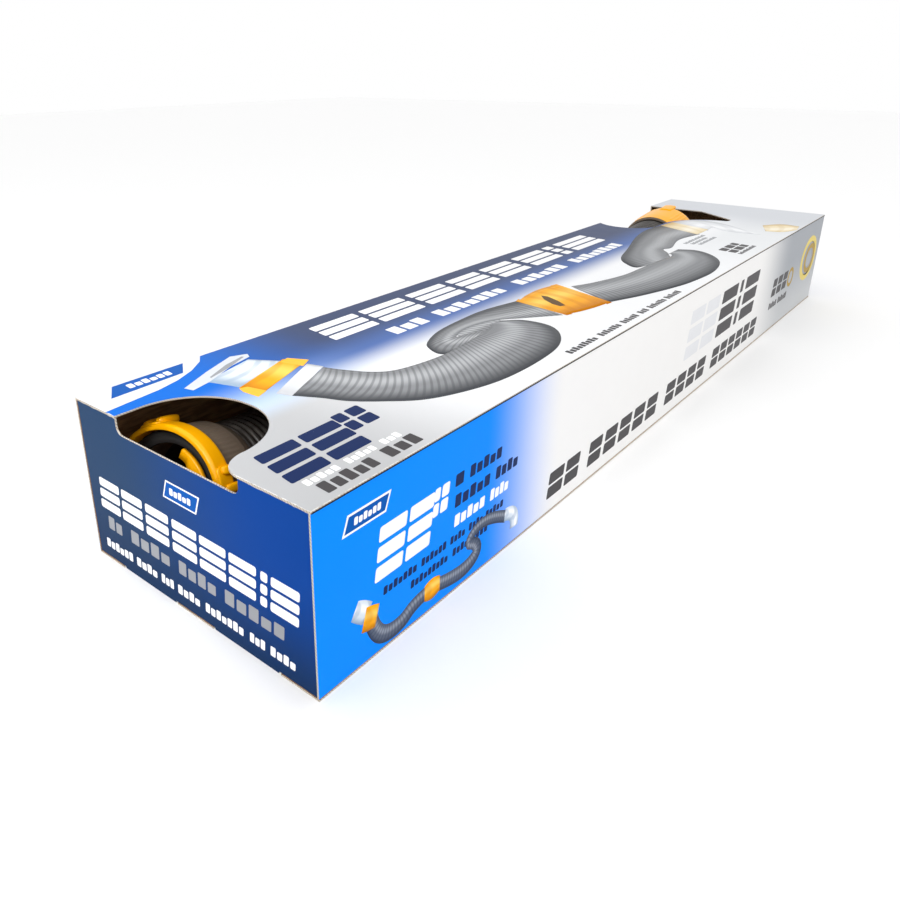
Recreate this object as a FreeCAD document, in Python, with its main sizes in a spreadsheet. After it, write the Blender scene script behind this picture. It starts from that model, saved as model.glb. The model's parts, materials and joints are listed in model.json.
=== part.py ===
"""Sewer hose kit in its retail carton: two hoses with swivel fittings, two clear adapters
and a stepped threaded adapter, packed in a folded board carton with two cut-out windows.

Frame: millimetres, +Z up, +Y along the carton towards its far end, +X across it.
The origin is at the middle of the carton's underside.
"""
import FreeCAD, Part
import math
import os
import Sketcher

Vector = FreeCAD.Vector
document = FreeCAD.newDocument("SewerHoseKit")
sheet = document.addObject("Spreadsheet::Sheet", "Sizes")
next_row = 1
nodes = []


# ---------------------------------------------------------------- sizes
def add_sizes(title, **values):
    """Write one titled group of driving sizes, in millimetres or degrees, into the sheet."""
    global next_row
    sheet.set(f"A{next_row}", title)
    next_row += 1
    for alias, value in values.items():
        sheet.set(f"A{next_row}", alias)
        sheet.set(f"B{next_row}", str(value))
        sheet.setAlias(f"B{next_row}", alias)
        next_row += 1


add_sizes("Carton board", carton_length=1088, board=1.6, fold_gap=0.4, glue_flap_width=25)
add_sizes("Room round the kit", lane_slack=9.8, lane_headroom=14.4, wall_gap=0.6,
          hose_floor_gap=1)
add_sizes("End flaps", lock_tab_width=62, lock_tab_offset=52, lock_tab_gap=1.5,
          dust_flap_length=92, dust_flap_drop=3)
add_sizes("Near window", near_window_left=68, near_window_right=38, near_window_radius=51,
          near_window_flare=20, near_window_sill_depth=13.6)
add_sizes("Far window, measured back from the far end", far_window_near=266,
          far_window_shoulder=252, far_window_neck=215, far_window_tip_near=143,
          far_window_tip_far=130, far_window_end=85)
add_sizes("Far window, measured from the left edge beyond the hose's radius",
          far_window_neck_reach=32.5, far_window_tip_reach=98.5, far_window_back_reach=40.5,
          far_window_front_radius=45, far_window_flare_radius=70,
          far_window_side_depth=45)
add_sizes("Hose", hose_radius=41, hose_wall=3, socket_clearance=0.3)
add_sizes("Fitting walls", bore_inset=4.5, cuff_wall=2.7, cuff_end_taper=10, socket_run=20,
          cuff_collar_length=29, swivel_clearance=0.4, ring_lip_depth=3, gasket_height=3.4)
add_sizes("Lug fitting", lug_ring_depth=16, lug_cuff_setback=10.5, lug_mouth_over_hose=5.5,
          lug_ring_wall=7.5, lug_lip_height=2.5, lug_collar_over_hose=6)
add_sizes("Lug fitting grips and ramps", lug_grip_height=1.5, lug_grip_front=4, lug_grip_back=26,
          lug_grip_angle=7, lug_grip_pitch=14, lug_ramp_front=1, lug_ramp_back=6.5,
          lug_ramp_height=9, lug_ramp_angle=46)
add_sizes("Bayonet fitting", bayonet_ring_depth=22, bayonet_cuff_setback=6,
          bayonet_mouth_over_bore=4.5, bayonet_ring_wall=2.5, bayonet_lip_height=1.2,
          bayonet_nose_wall=2, bayonet_nose_length=12, bayonet_arm_height=4,
          bayonet_arm_angle=22, bayonet_arm_reach=6, bayonet_arm_back=18)
add_sizes("Near left fitting", near_fitting_gap=7.64, near_fitting_turn=12,
          near_fitting_tilt=15, near_fitting_spin=36, near_foot_reach=73)
add_sizes("Far left fitting", far_fitting_depth=136, far_fitting_tilt=6, far_fitting_proud=8.9,
          far_fitting_side_gap=2, hose_rise_start=488, hose_rise_middle=388,
          hose_rise_end=248, hose_rise_lift=11.5, hose_bow=5)
add_sizes("Right hose", right_near_depth=97, right_far_depth=148, right_sway=2,
          right_near_spin=45, right_far_spin=12)
add_sizes("Clear straight adapter", adapter_radius=42, adapter_wall=3, adapter_flange_radius=48,
          adapter_flange_depth=8, adapter_length=84, adapter_end_gap=5, adapter_rib_height=2.2,
          adapter_side_gap=8.6, adapter_gasket_front=2.8)
add_sizes("Clear elbow", elbow_radius=41, elbow_wall=3, elbow_bend_radius=50, elbow_bend_angle=45,
          elbow_inlet_length=24, elbow_outlet_length=20, elbow_flange_height=3,
          elbow_end_gap=118, elbow_side_gap=2.6)
add_sizes("Stepped threaded adapter", stepped_base_radius=49, stepped_base_height=12,
          stepped_step_height=9, stepped_step_in=7.5, stepped_bore_radius=19,
          stepped_depth=148, stepped_side_gap=2.6)
document.recompute()


def size(expression):
    """Value of an expression that uses the sheet's names, such as 'Sizes.board * 2'."""
    return float(sheet.evalExpression(expression))


# Sizes that follow from the driving ones, written as expressions so that they stay bound.
HALF_LENGTH = "(Sizes.carton_length / 2)"
LUG_MOUTH = "(Sizes.hose_radius + Sizes.lug_mouth_over_hose)"
LUG_RING = f"({LUG_MOUTH} + Sizes.lug_ring_wall)"
LUG_GRIP = f"({LUG_RING} + Sizes.lug_grip_height)"
CARTON_WIDTH = f"(2 * Sizes.board + 4 * {LUG_GRIP} + Sizes.lane_slack)"
CARTON_HEIGHT = f"(2 * Sizes.board + 2 * {LUG_GRIP} + Sizes.lane_headroom)"
HALF_WIDTH = f"({CARTON_WIDTH} / 2)"
INNER_HALF_WIDTH = f"({HALF_WIDTH} - Sizes.board)"
CEILING = f"({CARTON_HEIGHT} - Sizes.board)"
SOCKET = "(Sizes.hose_radius + Sizes.socket_clearance)"
CUFF_END = f"({SOCKET} + Sizes.cuff_wall)"
LUG_COLLAR = "(Sizes.hose_radius + Sizes.lug_collar_over_hose)"
BORE = "(Sizes.hose_radius - Sizes.bore_inset)"
BAYONET_MOUTH = f"({BORE} + Sizes.bayonet_mouth_over_bore)"
BAYONET_RING = f"({BAYONET_MOUTH} + Sizes.bayonet_ring_wall)"
BAYONET_ARM = f"({BAYONET_RING} + Sizes.bayonet_arm_height)"
BAYONET_NOSE = f"({BORE} + Sizes.bayonet_nose_wall)"
BAYONET_COLLAR = f"({CUFF_END} + Sizes.swivel_clearance)"
NEAR_SILL = f"({CARTON_HEIGHT} - Sizes.near_window_sill_depth)"


# ---------------------------------------------------------------- building blocks
def new_body(name):
    """A PartDesign body that becomes one node of the model."""
    body = document.addObject("PartDesign::Body", name)
    body.Label = name
    nodes.append(body)
    return body


def origin_plane(body, role):
    """One of the body's own three origin planes."""
    return next(item for item in body.Origin.OriginFeatures if item.Role == role)


def arc_centre(first, last, radius, turn):
    """Centre of the short arc from first to last, on the left of the way for turn 1, else right."""
    chord = last - first
    reach = math.sqrt(max(radius ** 2 - (chord.Length / 2) ** 2, 0.0))
    across = Vector(-chord.y, chord.x, 0).normalize() * (turn * reach)
    return (first + last) * 0.5 + across


def outline(body, plane, corners, name, arcs=None):
    """Closed sketch on one of the body's planes; corner and radius expressions stay bound.

    arcs maps the number of an edge's first corner to (radius expression, turn)."""
    arcs = arcs or {}
    sketch = body.newObject("Sketcher::SketchObject", name)
    sketch.AttachmentSupport = (origin_plane(body, plane), "")
    sketch.MapMode = "FlatFace"
    points = [Vector(size(across), size(up), 0) for across, up in corners]
    count = len(points)
    ends = []
    for edge, first in enumerate(points):
        last = points[(edge + 1) % count]
        if edge not in arcs:
            sketch.addGeometry(Part.LineSegment(first, last))
            ends.append((1, 2))
            continue
        radius_expression, turn = arcs[edge]
        centre = arc_centre(first, last, size(radius_expression), turn)
        circle = Part.Circle(centre, Vector(0, 0, 1), size(radius_expression))
        start, stop = (first, last) if turn > 0 else (last, first)
        sketch.addGeometry(Part.ArcOfCircle(circle, circle.parameter(start), circle.parameter(stop)))
        ends.append((1, 2) if turn > 0 else (2, 1))
    for edge in range(count):
        following = (edge + 1) % count
        sketch.addConstraint(
            Sketcher.Constraint("Coincident", edge, ends[edge][1], following, ends[following][0]))
    for edge, (across, up) in enumerate(corners):
        for kind, expression, value in (("DistanceX", across, points[edge].x),
                                        ("DistanceY", up, points[edge].y)):
            index = sketch.addConstraint(
                Sketcher.Constraint(kind, -1, 1, edge, ends[edge][0], value))
            sketch.setExpression(f"Constraints[{index}]", expression)
    for edge, (radius_expression, _) in arcs.items():
        index = sketch.addConstraint(Sketcher.Constraint("Radius", edge, size(radius_expression)))
        sketch.setExpression(f"Constraints[{index}]", radius_expression)
    return sketch


def board_panel(name, plane, corners, arcs=None):
    """A flat piece of board: its outline padded by the board's thickness along the plane's
    own normal, which is -Y for XZ_Plane."""
    body = new_body(name)
    profile = outline(body, plane, corners, f"{name}_outline", arcs)
    pad = body.newObject("PartDesign::Pad", f"{name}_pad")
    pad.Profile = profile
    pad.setExpression("Length", "Sizes.board")
    profile.Visibility = False
    document.recompute()
    return body


def place(item, x="0", y="0", z="0"):
    """Bind the position of a node to expressions of the sheet."""
    item.setExpression("Placement.Base.x", x)
    item.setExpression("Placement.Base.y", y)
    item.setExpression("Placement.Base.z", z)


def turned_body(name, corners):
    """A round piece about its own Z axis. Each corner is (radius, distance behind the front)."""
    body = new_body(name)
    profile = outline(body, "XZ_Plane", [(radius, f"-({behind})") for radius, behind in corners],
                      f"{name}_section")
    turned = body.newObject("PartDesign::Revolution", f"{name}_turned")
    turned.Profile = profile
    turned.ReferenceAxis = (profile, ["V_Axis"])
    turned.Angle = 360
    document.recompute()
    return body, profile


def ring_of_blocks(body, name, block, angle, turn="0"):
    """One block of a ring: the (radius, behind) rectangle carried through an angle about the
    body's axis, its middle turned that far from the X axis."""
    (inner, front), (outer, back) = block
    corners = [(inner, f"-({front})"), (outer, f"-({front})"),
               (outer, f"-({back})"), (inner, f"-({back})")]
    profile = outline(body, "XZ_Plane", corners, f"{name}_section")
    turned = body.newObject("PartDesign::Revolution", name)
    turned.Profile = profile
    turned.ReferenceAxis = (profile, ["V_Axis"])
    turned.Type = "TwoAngles"
    turned.setExpression("Angle", f"{angle} / 2 + {turn}")
    turned.setExpression("Angle2", f"{angle} / 2 - {turn}")
    document.recompute()
    return turned


def repeat_round(body, axis_sketch, name, features, count):
    """Repeat features evenly round the body's axis."""
    pattern = body.newObject("PartDesign::PolarPattern", name)
    pattern.Originals = features
    pattern.Axis = (axis_sketch, ["V_Axis"])
    pattern.Angle = 360
    pattern.Occurrences = count
    body.Tip = pattern
    document.recompute()


def facing(direction, spin=0.0):
    """Rotation that turns a round piece's front, its +Z, to face a direction, after a spin."""
    return FreeCAD.Rotation(Vector(0, 0, 1), direction) * FreeCAD.Rotation(Vector(0, 0, 1), spin)


# ---------------------------------------------------------------- carton
def carton_bottom_panel():
    tabs = [(f"{side} * Sizes.lock_tab_offset - Sizes.lock_tab_width / 2 - Sizes.lock_tab_gap",
             f"{side} * Sizes.lock_tab_offset + Sizes.lock_tab_width / 2 + Sizes.lock_tab_gap")
            for side in (-1, 1)]
    notch = f"({HALF_LENGTH} - Sizes.board - Sizes.fold_gap)"
    corners = [(f"-{HALF_WIDTH}", f"-{HALF_LENGTH}")]
    for left, right in tabs:
        corners += [(left, f"-{HALF_LENGTH}"), (left, f"-{notch}"),
                    (right, f"-{notch}"), (right, f"-{HALF_LENGTH}")]
    corners += [(HALF_WIDTH, f"-{HALF_LENGTH}"), (HALF_WIDTH, HALF_LENGTH)]
    for left, right in reversed(tabs):
        corners += [(right, HALF_LENGTH), (right, notch), (left, notch), (left, HALF_LENGTH)]
    corners += [(f"-{HALF_WIDTH}", HALF_LENGTH)]
    board_panel("carton_bottom_panel", "XY_Plane", corners)


def far_window_line(distance):
    """Place along the carton of a line given by its distance back from the far end."""
    return f"({HALF_LENGTH} - Sizes.{distance})"


def far_window_reach(corner):
    """Place across the carton of one of the far window's corners."""
    return f"(Sizes.hose_radius + Sizes.far_window_{corner}_reach - {HALF_WIDTH})"


def carton_top_panel():
    left = "-Sizes.near_window_left"
    right = "Sizes.near_window_right"
    spring = f"(Sizes.near_window_flare - {HALF_LENGTH})"
    crown = f"({spring} + Sizes.near_window_radius)"
    corners = [
        (f"-{HALF_WIDTH}", f"-{HALF_LENGTH}"),
        (left, f"-{HALF_LENGTH}"),
        (left, spring),
        (f"{left} + Sizes.near_window_radius", crown),
        (f"{right} - Sizes.near_window_radius", crown),
        (right, spring),
        (f"{right} + Sizes.near_window_flare", f"-{HALF_LENGTH}"),
        (HALF_WIDTH, f"-{HALF_LENGTH}"),
        (HALF_WIDTH, HALF_LENGTH),
        (f"-{HALF_WIDTH}", HALF_LENGTH),
        (f"-{HALF_WIDTH}", far_window_line("far_window_end")),
        (far_window_reach("back"), far_window_line("far_window_end")),
        (far_window_reach("tip"), far_window_line("far_window_tip_far")),
        (far_window_reach("tip"), far_window_line("far_window_tip_near")),
        (far_window_reach("neck"), far_window_line("far_window_neck")),
        (far_window_reach("neck"), far_window_line("far_window_shoulder")),
        (f"-{HALF_WIDTH}", far_window_line("far_window_near")),
    ]
    arcs = {2: ("Sizes.near_window_radius", -1), 4: ("Sizes.near_window_radius", -1),
            5: ("Sizes.near_window_flare", 1), 13: ("Sizes.far_window_flare_radius", 1),
            15: ("Sizes.far_window_front_radius", -1)}
    place(board_panel("carton_top_panel", "XY_Plane", corners, arcs), z=CEILING)


def carton_side_panels():
    window_sill = f"({CARTON_HEIGHT} - Sizes.far_window_side_depth)"
    left_corners = [
        (f"-{HALF_LENGTH}", "Sizes.board"),
        (HALF_LENGTH, "Sizes.board"),
        (HALF_LENGTH, CEILING),
        (far_window_line("far_window_end"), CEILING),
        (far_window_line("far_window_end"), window_sill),
        (far_window_line("far_window_near"), window_sill),
        (far_window_line("far_window_near"), CEILING),
        (f"-{HALF_LENGTH}", CEILING),
    ]
    place(board_panel("carton_left_panel", "YZ_Plane", left_corners), x=f"-{HALF_WIDTH}")
    right_corners = left_corners[:3] + left_corners[-1:]
    place(board_panel("carton_right_panel", "YZ_Plane", right_corners), x=INNER_HALF_WIDTH)


def carton_glue_flap():
    corners = [
        (f"{INNER_HALF_WIDTH} - Sizes.glue_flap_width", f"-{HALF_LENGTH} + 3 * Sizes.board"),
        (INNER_HALF_WIDTH, f"-{HALF_LENGTH} + 3 * Sizes.board"),
        (INNER_HALF_WIDTH, f"{HALF_LENGTH} - 3 * Sizes.board"),
        (f"{INNER_HALF_WIDTH} - Sizes.glue_flap_width", f"{HALF_LENGTH} - 3 * Sizes.board")]
    place(board_panel("carton_glue_flap", "XY_Plane", corners), z=f"{CEILING} - Sizes.board")


def end_flap(name, end, window):
    """End flap hung from the top panel's fold, with two lock tabs in the bottom's notches."""
    side = f"({INNER_HALF_WIDTH} - Sizes.fold_gap)"
    foot = "(Sizes.board + Sizes.fold_gap)"
    head = f"({CEILING} - Sizes.fold_gap)"
    corners = [(f"-{side}", foot)]
    for tab in (-1, 1):
        middle = f"{tab} * Sizes.lock_tab_offset"
        corners += [(f"{middle} - Sizes.lock_tab_width / 2", foot),
                    (f"{middle} - Sizes.lock_tab_width / 2", "Sizes.fold_gap"),
                    (f"{middle} + Sizes.lock_tab_width / 2", "Sizes.fold_gap"),
                    (f"{middle} + Sizes.lock_tab_width / 2", foot)]
    corners += [(side, foot), (side, head)]
    if window:
        edge = "(Sizes.near_window_right + Sizes.near_window_flare)"
        corners += [(edge, head), (edge, NEAR_SILL),
                    ("-Sizes.near_window_left", NEAR_SILL), ("-Sizes.near_window_left", head)]
    corners += [(f"-{side}", head)]
    panel = board_panel(name, "XZ_Plane", corners)
    place(panel, y=f"Sizes.board - {HALF_LENGTH}" if end < 0 else HALF_LENGTH)


def dust_flap(name, end, side):
    """Small flap folded in from a side panel, behind the end flap."""
    outer = f"({INNER_HALF_WIDTH} - Sizes.fold_gap)"
    inner = f"({outer} - Sizes.dust_flap_length)"
    foot = "(Sizes.board + Sizes.fold_gap)"
    head = f"({NEAR_SILL} - Sizes.dust_flap_drop)"
    corners = [(f"{side} * {outer}", foot), (f"{side} * {inner}", foot),
               (f"{side} * {inner}", head), (f"{side} * {outer}", head)]
    panel = board_panel(name, "XZ_Plane", corners)
    setback = "(2 * Sizes.board + Sizes.fold_gap)"
    place(panel, y=f"{setback} - {HALF_LENGTH}" if end < 0
          else f"{HALF_LENGTH} - {setback} + Sizes.board")


# ---------------------------------------------------------------- swivel fittings
def ring_corners(mouth, outside, lip_height, depth):
    """Section of a swivel ring: its wall, and the lip that holds the cuff's flange."""
    lip = f"({mouth} - {lip_height})"
    lip_front = f"({depth} - Sizes.ring_lip_depth)"
    return [(mouth, "0"), (outside, "0"), (outside, depth), (lip, depth), (lip, lip_front),
            (mouth, lip_front)]


def lug_ring(name):
    """Swivel ring with two ramps inside its mouth and pairs of long finger grips outside."""
    body, axis = turned_body(name, ring_corners(LUG_MOUTH, LUG_RING, "Sizes.lug_lip_height",
                                                "Sizes.lug_ring_depth"))
    inside_wall = f"({LUG_MOUTH} + Sizes.lug_ring_wall / 2)"
    ramp = ring_of_blocks(body, f"{name}_ramp",
                          ((f"{LUG_MOUTH} - Sizes.lug_ramp_height", "Sizes.lug_ramp_front"),
                           (inside_wall, "Sizes.lug_ramp_back")), "Sizes.lug_ramp_angle")
    repeat_round(body, axis, f"{name}_ramps", [ramp], 2)
    for number, turn in enumerate(("-0.5", "0.5")):
        grip = ring_of_blocks(body, f"{name}_grip_{number}",
                              ((inside_wall, "Sizes.lug_grip_front"),
                               (LUG_GRIP, "Sizes.lug_ring_depth - Sizes.ring_lip_depth / 2")),
                              "Sizes.lug_grip_angle", f"{turn} * Sizes.lug_grip_pitch")
        finger = ring_of_blocks(body, f"{name}_finger_{number}",
                                ((f"{LUG_RING} - Sizes.lug_ring_wall / 3",
                                  "Sizes.lug_ring_depth / 2"),
                                 (LUG_GRIP, "Sizes.lug_grip_back")),
                                "Sizes.lug_grip_angle", f"{turn} * Sizes.lug_grip_pitch")
        repeat_round(body, axis, f"{name}_grips_{number}", [grip, finger], 4)
    return body


def bayonet_ring(name):
    """Swivel ring with four hooked arms that reach forward over the other half's ramps."""
    body, axis = turned_body(name, ring_corners(BAYONET_MOUTH, BAYONET_RING,
                                                "Sizes.bayonet_lip_height",
                                                "Sizes.bayonet_ring_depth"))
    arm = ring_of_blocks(body, f"{name}_arm",
                         ((f"{BAYONET_RING} - Sizes.bayonet_ring_wall / 2",
                           "-Sizes.bayonet_arm_reach"), (BAYONET_ARM, "Sizes.bayonet_arm_back")),
                         "Sizes.bayonet_arm_angle")
    repeat_round(body, axis, f"{name}_arms", [arm], 4)
    return body


def cuff_corners(flange, lip_height, collar, setback, depth):
    """Outer steps of a cuff behind its front: flange in the ring, neck, collar and taper,
    then back inside along the hose's socket."""
    neck = f"({flange} - {lip_height})"
    flange_back = f"({depth} - Sizes.ring_lip_depth - Sizes.swivel_clearance)"
    collar_start = f"({depth} + Sizes.swivel_clearance)"
    collar_stop = f"({collar_start} + Sizes.cuff_collar_length)"
    cuff_stop = f"({collar_stop} + Sizes.cuff_end_taper)"
    return [
        (flange, setback), (flange, flange_back), (neck, flange_back), (neck, collar_start),
        (collar, collar_start), (collar, collar_stop), (CUFF_END, cuff_stop),
        (SOCKET, cuff_stop), (SOCKET, f"({cuff_stop} - Sizes.socket_run)"),
        (BORE, f"({cuff_stop} - Sizes.socket_run)")]


def lug_cuff(name):
    body, _ = turned_body(name, [(BORE, "Sizes.lug_cuff_setback")] + cuff_corners(
        f"({LUG_MOUTH} - Sizes.swivel_clearance)", "Sizes.lug_lip_height", LUG_COLLAR,
        "Sizes.lug_cuff_setback", "Sizes.lug_ring_depth"))
    return body


def bayonet_cuff(name):
    body, _ = turned_body(name, [
        (BORE, "-Sizes.bayonet_nose_length"),
        (BAYONET_NOSE, "-Sizes.bayonet_nose_length"),
        (BAYONET_NOSE, "Sizes.bayonet_cuff_setback")] + cuff_corners(
        f"({BAYONET_MOUTH} - Sizes.swivel_clearance)", "Sizes.bayonet_lip_height",
        BAYONET_COLLAR, "Sizes.bayonet_cuff_setback", "Sizes.bayonet_ring_depth"))
    return body


def flat_gasket(name, inner, outer, seat):
    """Rubber ring that lies on the cuff's front face."""
    front = f"({seat} - Sizes.gasket_height)"
    body, _ = turned_body(name, [(inner, front), (outer, front), (outer, seat), (inner, seat)])
    return body


def fitting(kind, prefix, seat):
    """Ring, cuff and gasket of one swivel fitting, all at the same placement."""
    if kind == "lug":
        pieces = [lug_ring(f"{prefix}_ring"), lug_cuff(f"{prefix}_cuff"),
                  flat_gasket(f"{prefix}_gasket", BORE,
                              f"{LUG_MOUTH} - 3 * Sizes.swivel_clearance",
                              "Sizes.lug_cuff_setback")]
    else:
        pieces = [bayonet_ring(f"{prefix}_ring"), bayonet_cuff(f"{prefix}_cuff"),
                  flat_gasket(f"{prefix}_gasket", BAYONET_NOSE,
                              f"{BAYONET_MOUTH} - 1.2 * Sizes.swivel_clearance",
                              "Sizes.bayonet_cuff_setback")]
    for piece in pieces:
        piece.Placement = seat


# ---------------------------------------------------------------- hoses
def route_wire(points):
    """Straight runs joined by tangent arcs, each as large as its two runs allow."""
    edges = []
    start = points[0]
    radii = []
    for before, corner, after in zip(points, points[1:], points[2:]):
        into = (corner - before).normalize()
        out = (after - corner).normalize()
        half_turn = into.getAngle(out) / 2
        reach = 0.45 * min(corner.distanceToPoint(before), corner.distanceToPoint(after))
        radius = reach / math.tan(half_turn)
        towards_centre = (out - into).normalize()
        arc_start = corner - into * reach
        arc_stop = corner + out * reach
        middle = corner + towards_centre * (radius / math.cos(half_turn) - radius)
        edges += [Part.LineSegment(start, arc_start).toShape(),
                  Part.Arc(arc_start, middle, arc_stop).toShape()]
        start = arc_stop
        radii.append(round(radius))
    edges.append(Part.LineSegment(start, points[-1]).toShape())
    return Part.Wire(edges), radii


def hose(name, points):
    """Hollow tube of the hose's outer shape along its route."""
    path, radii = route_wire(points)
    outer_radius = size("Sizes.hose_radius")
    inner_radius = outer_radius - size("Sizes.hose_wall")
    tubes = []
    for radius in (outer_radius, inner_radius):
        circle = Part.makeCircle(radius, points[0], points[1] - points[0])
        tubes.append(path.makePipe(Part.Face(Part.Wire([circle]))))
    node = document.addObject("Part::Feature", name)
    node.Label = name
    node.Shape = tubes[0].cut(tubes[1])
    nodes.append(node)
    expected = math.pi * (outer_radius ** 2 - inner_radius ** 2) * path.Length
    print(f"{name}: length {path.Length:.0f}, arc radii {radii}, "
          f"volume ratio {node.Shape.Volume / expected:.4f}")


def hose_seat(placement, depth):
    """Point on a fitting's axis where the hose's end stands in the cuff's socket."""
    behind = size(f"{depth} + Sizes.swivel_clearance + Sizes.cuff_collar_length"
                  " + Sizes.cuff_end_taper - Sizes.socket_run + Sizes.socket_clearance")
    return placement.multVec(Vector(0, 0, -behind))


def left_hose_and_fittings():
    half_length = size(HALF_LENGTH)
    turn = math.radians(size("Sizes.near_fitting_turn"))
    tilt = math.radians(size("Sizes.near_fitting_tilt"))
    grip = size(LUG_GRIP)
    near_normal = Vector(math.sin(turn) * math.cos(tilt), -math.cos(turn) * math.cos(tilt),
                         math.sin(tilt))
    wall = size(f"{INNER_HALF_WIDTH} - Sizes.wall_gap")
    grip_back = size("Sizes.lug_grip_back")
    near_x = -wall + grip * math.cos(turn) + near_normal.x * grip_back
    near_y = size("Sizes.near_fitting_gap") + grip * math.sin(tilt) - half_length
    lane_z = size("Sizes.board + Sizes.hose_floor_gap + Sizes.hose_radius")
    on_floor = (size("Sizes.board + Sizes.wall_gap") + grip * math.cos(tilt)
                + near_normal.z * grip_back)
    near_z = max(on_floor, lane_z + size("Sizes.near_foot_reach") * math.sin(tilt))
    near_spot = Vector(near_x, near_y, near_z)
    near_seat = FreeCAD.Placement(near_spot, facing(near_normal, size("Sizes.near_fitting_spin")))
    fitting("lug", "left_lug", near_seat)

    rise = math.radians(size("Sizes.far_fitting_tilt"))
    far_z = size(f"{CARTON_HEIGHT} + Sizes.far_fitting_proud - {BAYONET_RING}")
    far_x = -(size(f"{INNER_HALF_WIDTH} - {BAYONET_ARM} - Sizes.far_fitting_side_gap"))
    far_spot = Vector(far_x, half_length - size("Sizes.far_fitting_depth"), far_z)
    far_seat = FreeCAD.Placement(far_spot, facing(Vector(0, math.cos(rise), math.sin(rise)), 0.0))
    fitting("bayonet", "left_bayonet", far_seat)

    start = hose_seat(near_seat, "Sizes.lug_ring_depth")
    finish = hose_seat(far_seat, "Sizes.bayonet_ring_depth")
    foot = near_spot - near_normal * ((near_z - lane_z) / math.sin(tilt))
    level_x = foot.x + size("Sizes.hose_bow")
    before_rise = half_length - size("Sizes.hose_rise_start")
    rise_middle = half_length - size("Sizes.hose_rise_middle")
    rise_end = half_length - size("Sizes.hose_rise_end")
    slope_back = far_spot - Vector(0, math.cos(rise), math.sin(rise)) * (
        (far_spot.y - rise_end) / math.cos(rise))
    hose("left_hose", [
        start, foot,
        Vector(level_x, (foot.y + before_rise) / 2, lane_z),
        Vector(far_x, before_rise, lane_z),
        Vector(far_x, rise_middle, lane_z + size("Sizes.hose_rise_lift")),
        slope_back, finish])


def right_hose_and_fittings():
    half_length = size(HALF_LENGTH)
    lane_x = size(f"{INNER_HALF_WIDTH} - Sizes.wall_gap - {LUG_GRIP}")
    lane_z = size(f"Sizes.board + Sizes.wall_gap + {LUG_GRIP}")
    near_spot = Vector(lane_x, size("Sizes.right_near_depth") - half_length, lane_z)
    far_spot = Vector(lane_x, half_length - size("Sizes.right_far_depth"), lane_z)
    near_seat = FreeCAD.Placement(near_spot, facing(Vector(0, -1, 0), size("Sizes.right_near_spin")))
    far_seat = FreeCAD.Placement(far_spot, facing(Vector(0, 1, 0), size("Sizes.right_far_spin")))
    fitting("bayonet", "right_bayonet", near_seat)
    fitting("lug", "right_lug", far_seat)
    sway = size("Sizes.right_sway")
    start = hose_seat(near_seat, "Sizes.bayonet_ring_depth")
    finish = hose_seat(far_seat, "Sizes.lug_ring_depth")
    run = finish.y - start.y
    hose("right_hose", [
        start,
        Vector(lane_x, start.y + run * 0.25, lane_z),
        Vector(lane_x - sway, start.y + run * 0.5, lane_z - sway),
        Vector(lane_x, start.y + run * 0.75, lane_z),
        finish])


# ---------------------------------------------------------------- adapters
def clear_adapter():
    """Straight clear piece: flange with ramps at its front, ribs, plain spigot behind."""
    outer = "Sizes.adapter_radius"
    bore = "(Sizes.adapter_radius - Sizes.adapter_wall)"
    rib = "(Sizes.adapter_radius + Sizes.adapter_rib_height)"
    body, axis = turned_body("clear_adapter", [
        (bore, "0"), (outer, "0"), (outer, "Sizes.adapter_flange_depth"),
        ("Sizes.adapter_flange_radius", "Sizes.adapter_flange_depth"),
        ("Sizes.adapter_flange_radius", "2 * Sizes.adapter_flange_depth"),
        (outer, "2 * Sizes.adapter_flange_depth"),
        (outer, "Sizes.adapter_length / 2"), (rib, "Sizes.adapter_length / 2"),
        (rib, "Sizes.adapter_length / 2 + Sizes.adapter_wall"),
        (outer, "Sizes.adapter_length / 2 + Sizes.adapter_wall"),
        (outer, "Sizes.adapter_length"), (bore, "Sizes.adapter_length")])
    gasket, _ = turned_body("clear_adapter_gasket", [
        (outer, "Sizes.adapter_gasket_front"),
        (rib, "Sizes.adapter_gasket_front"),
        (rib, "Sizes.adapter_flange_depth"), (outer, "Sizes.adapter_flange_depth")])
    spot = Vector(size(f"Sizes.adapter_side_gap + Sizes.adapter_flange_radius - {INNER_HALF_WIDTH}"),
                  size(f"{HALF_LENGTH} - Sizes.adapter_end_gap - Sizes.adapter_length"),
                  size("Sizes.board + Sizes.wall_gap + Sizes.adapter_flange_radius"))
    for piece in (body, gasket):
        piece.Placement = FreeCAD.Placement(spot, facing(Vector(0, -1, 0)))


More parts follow.
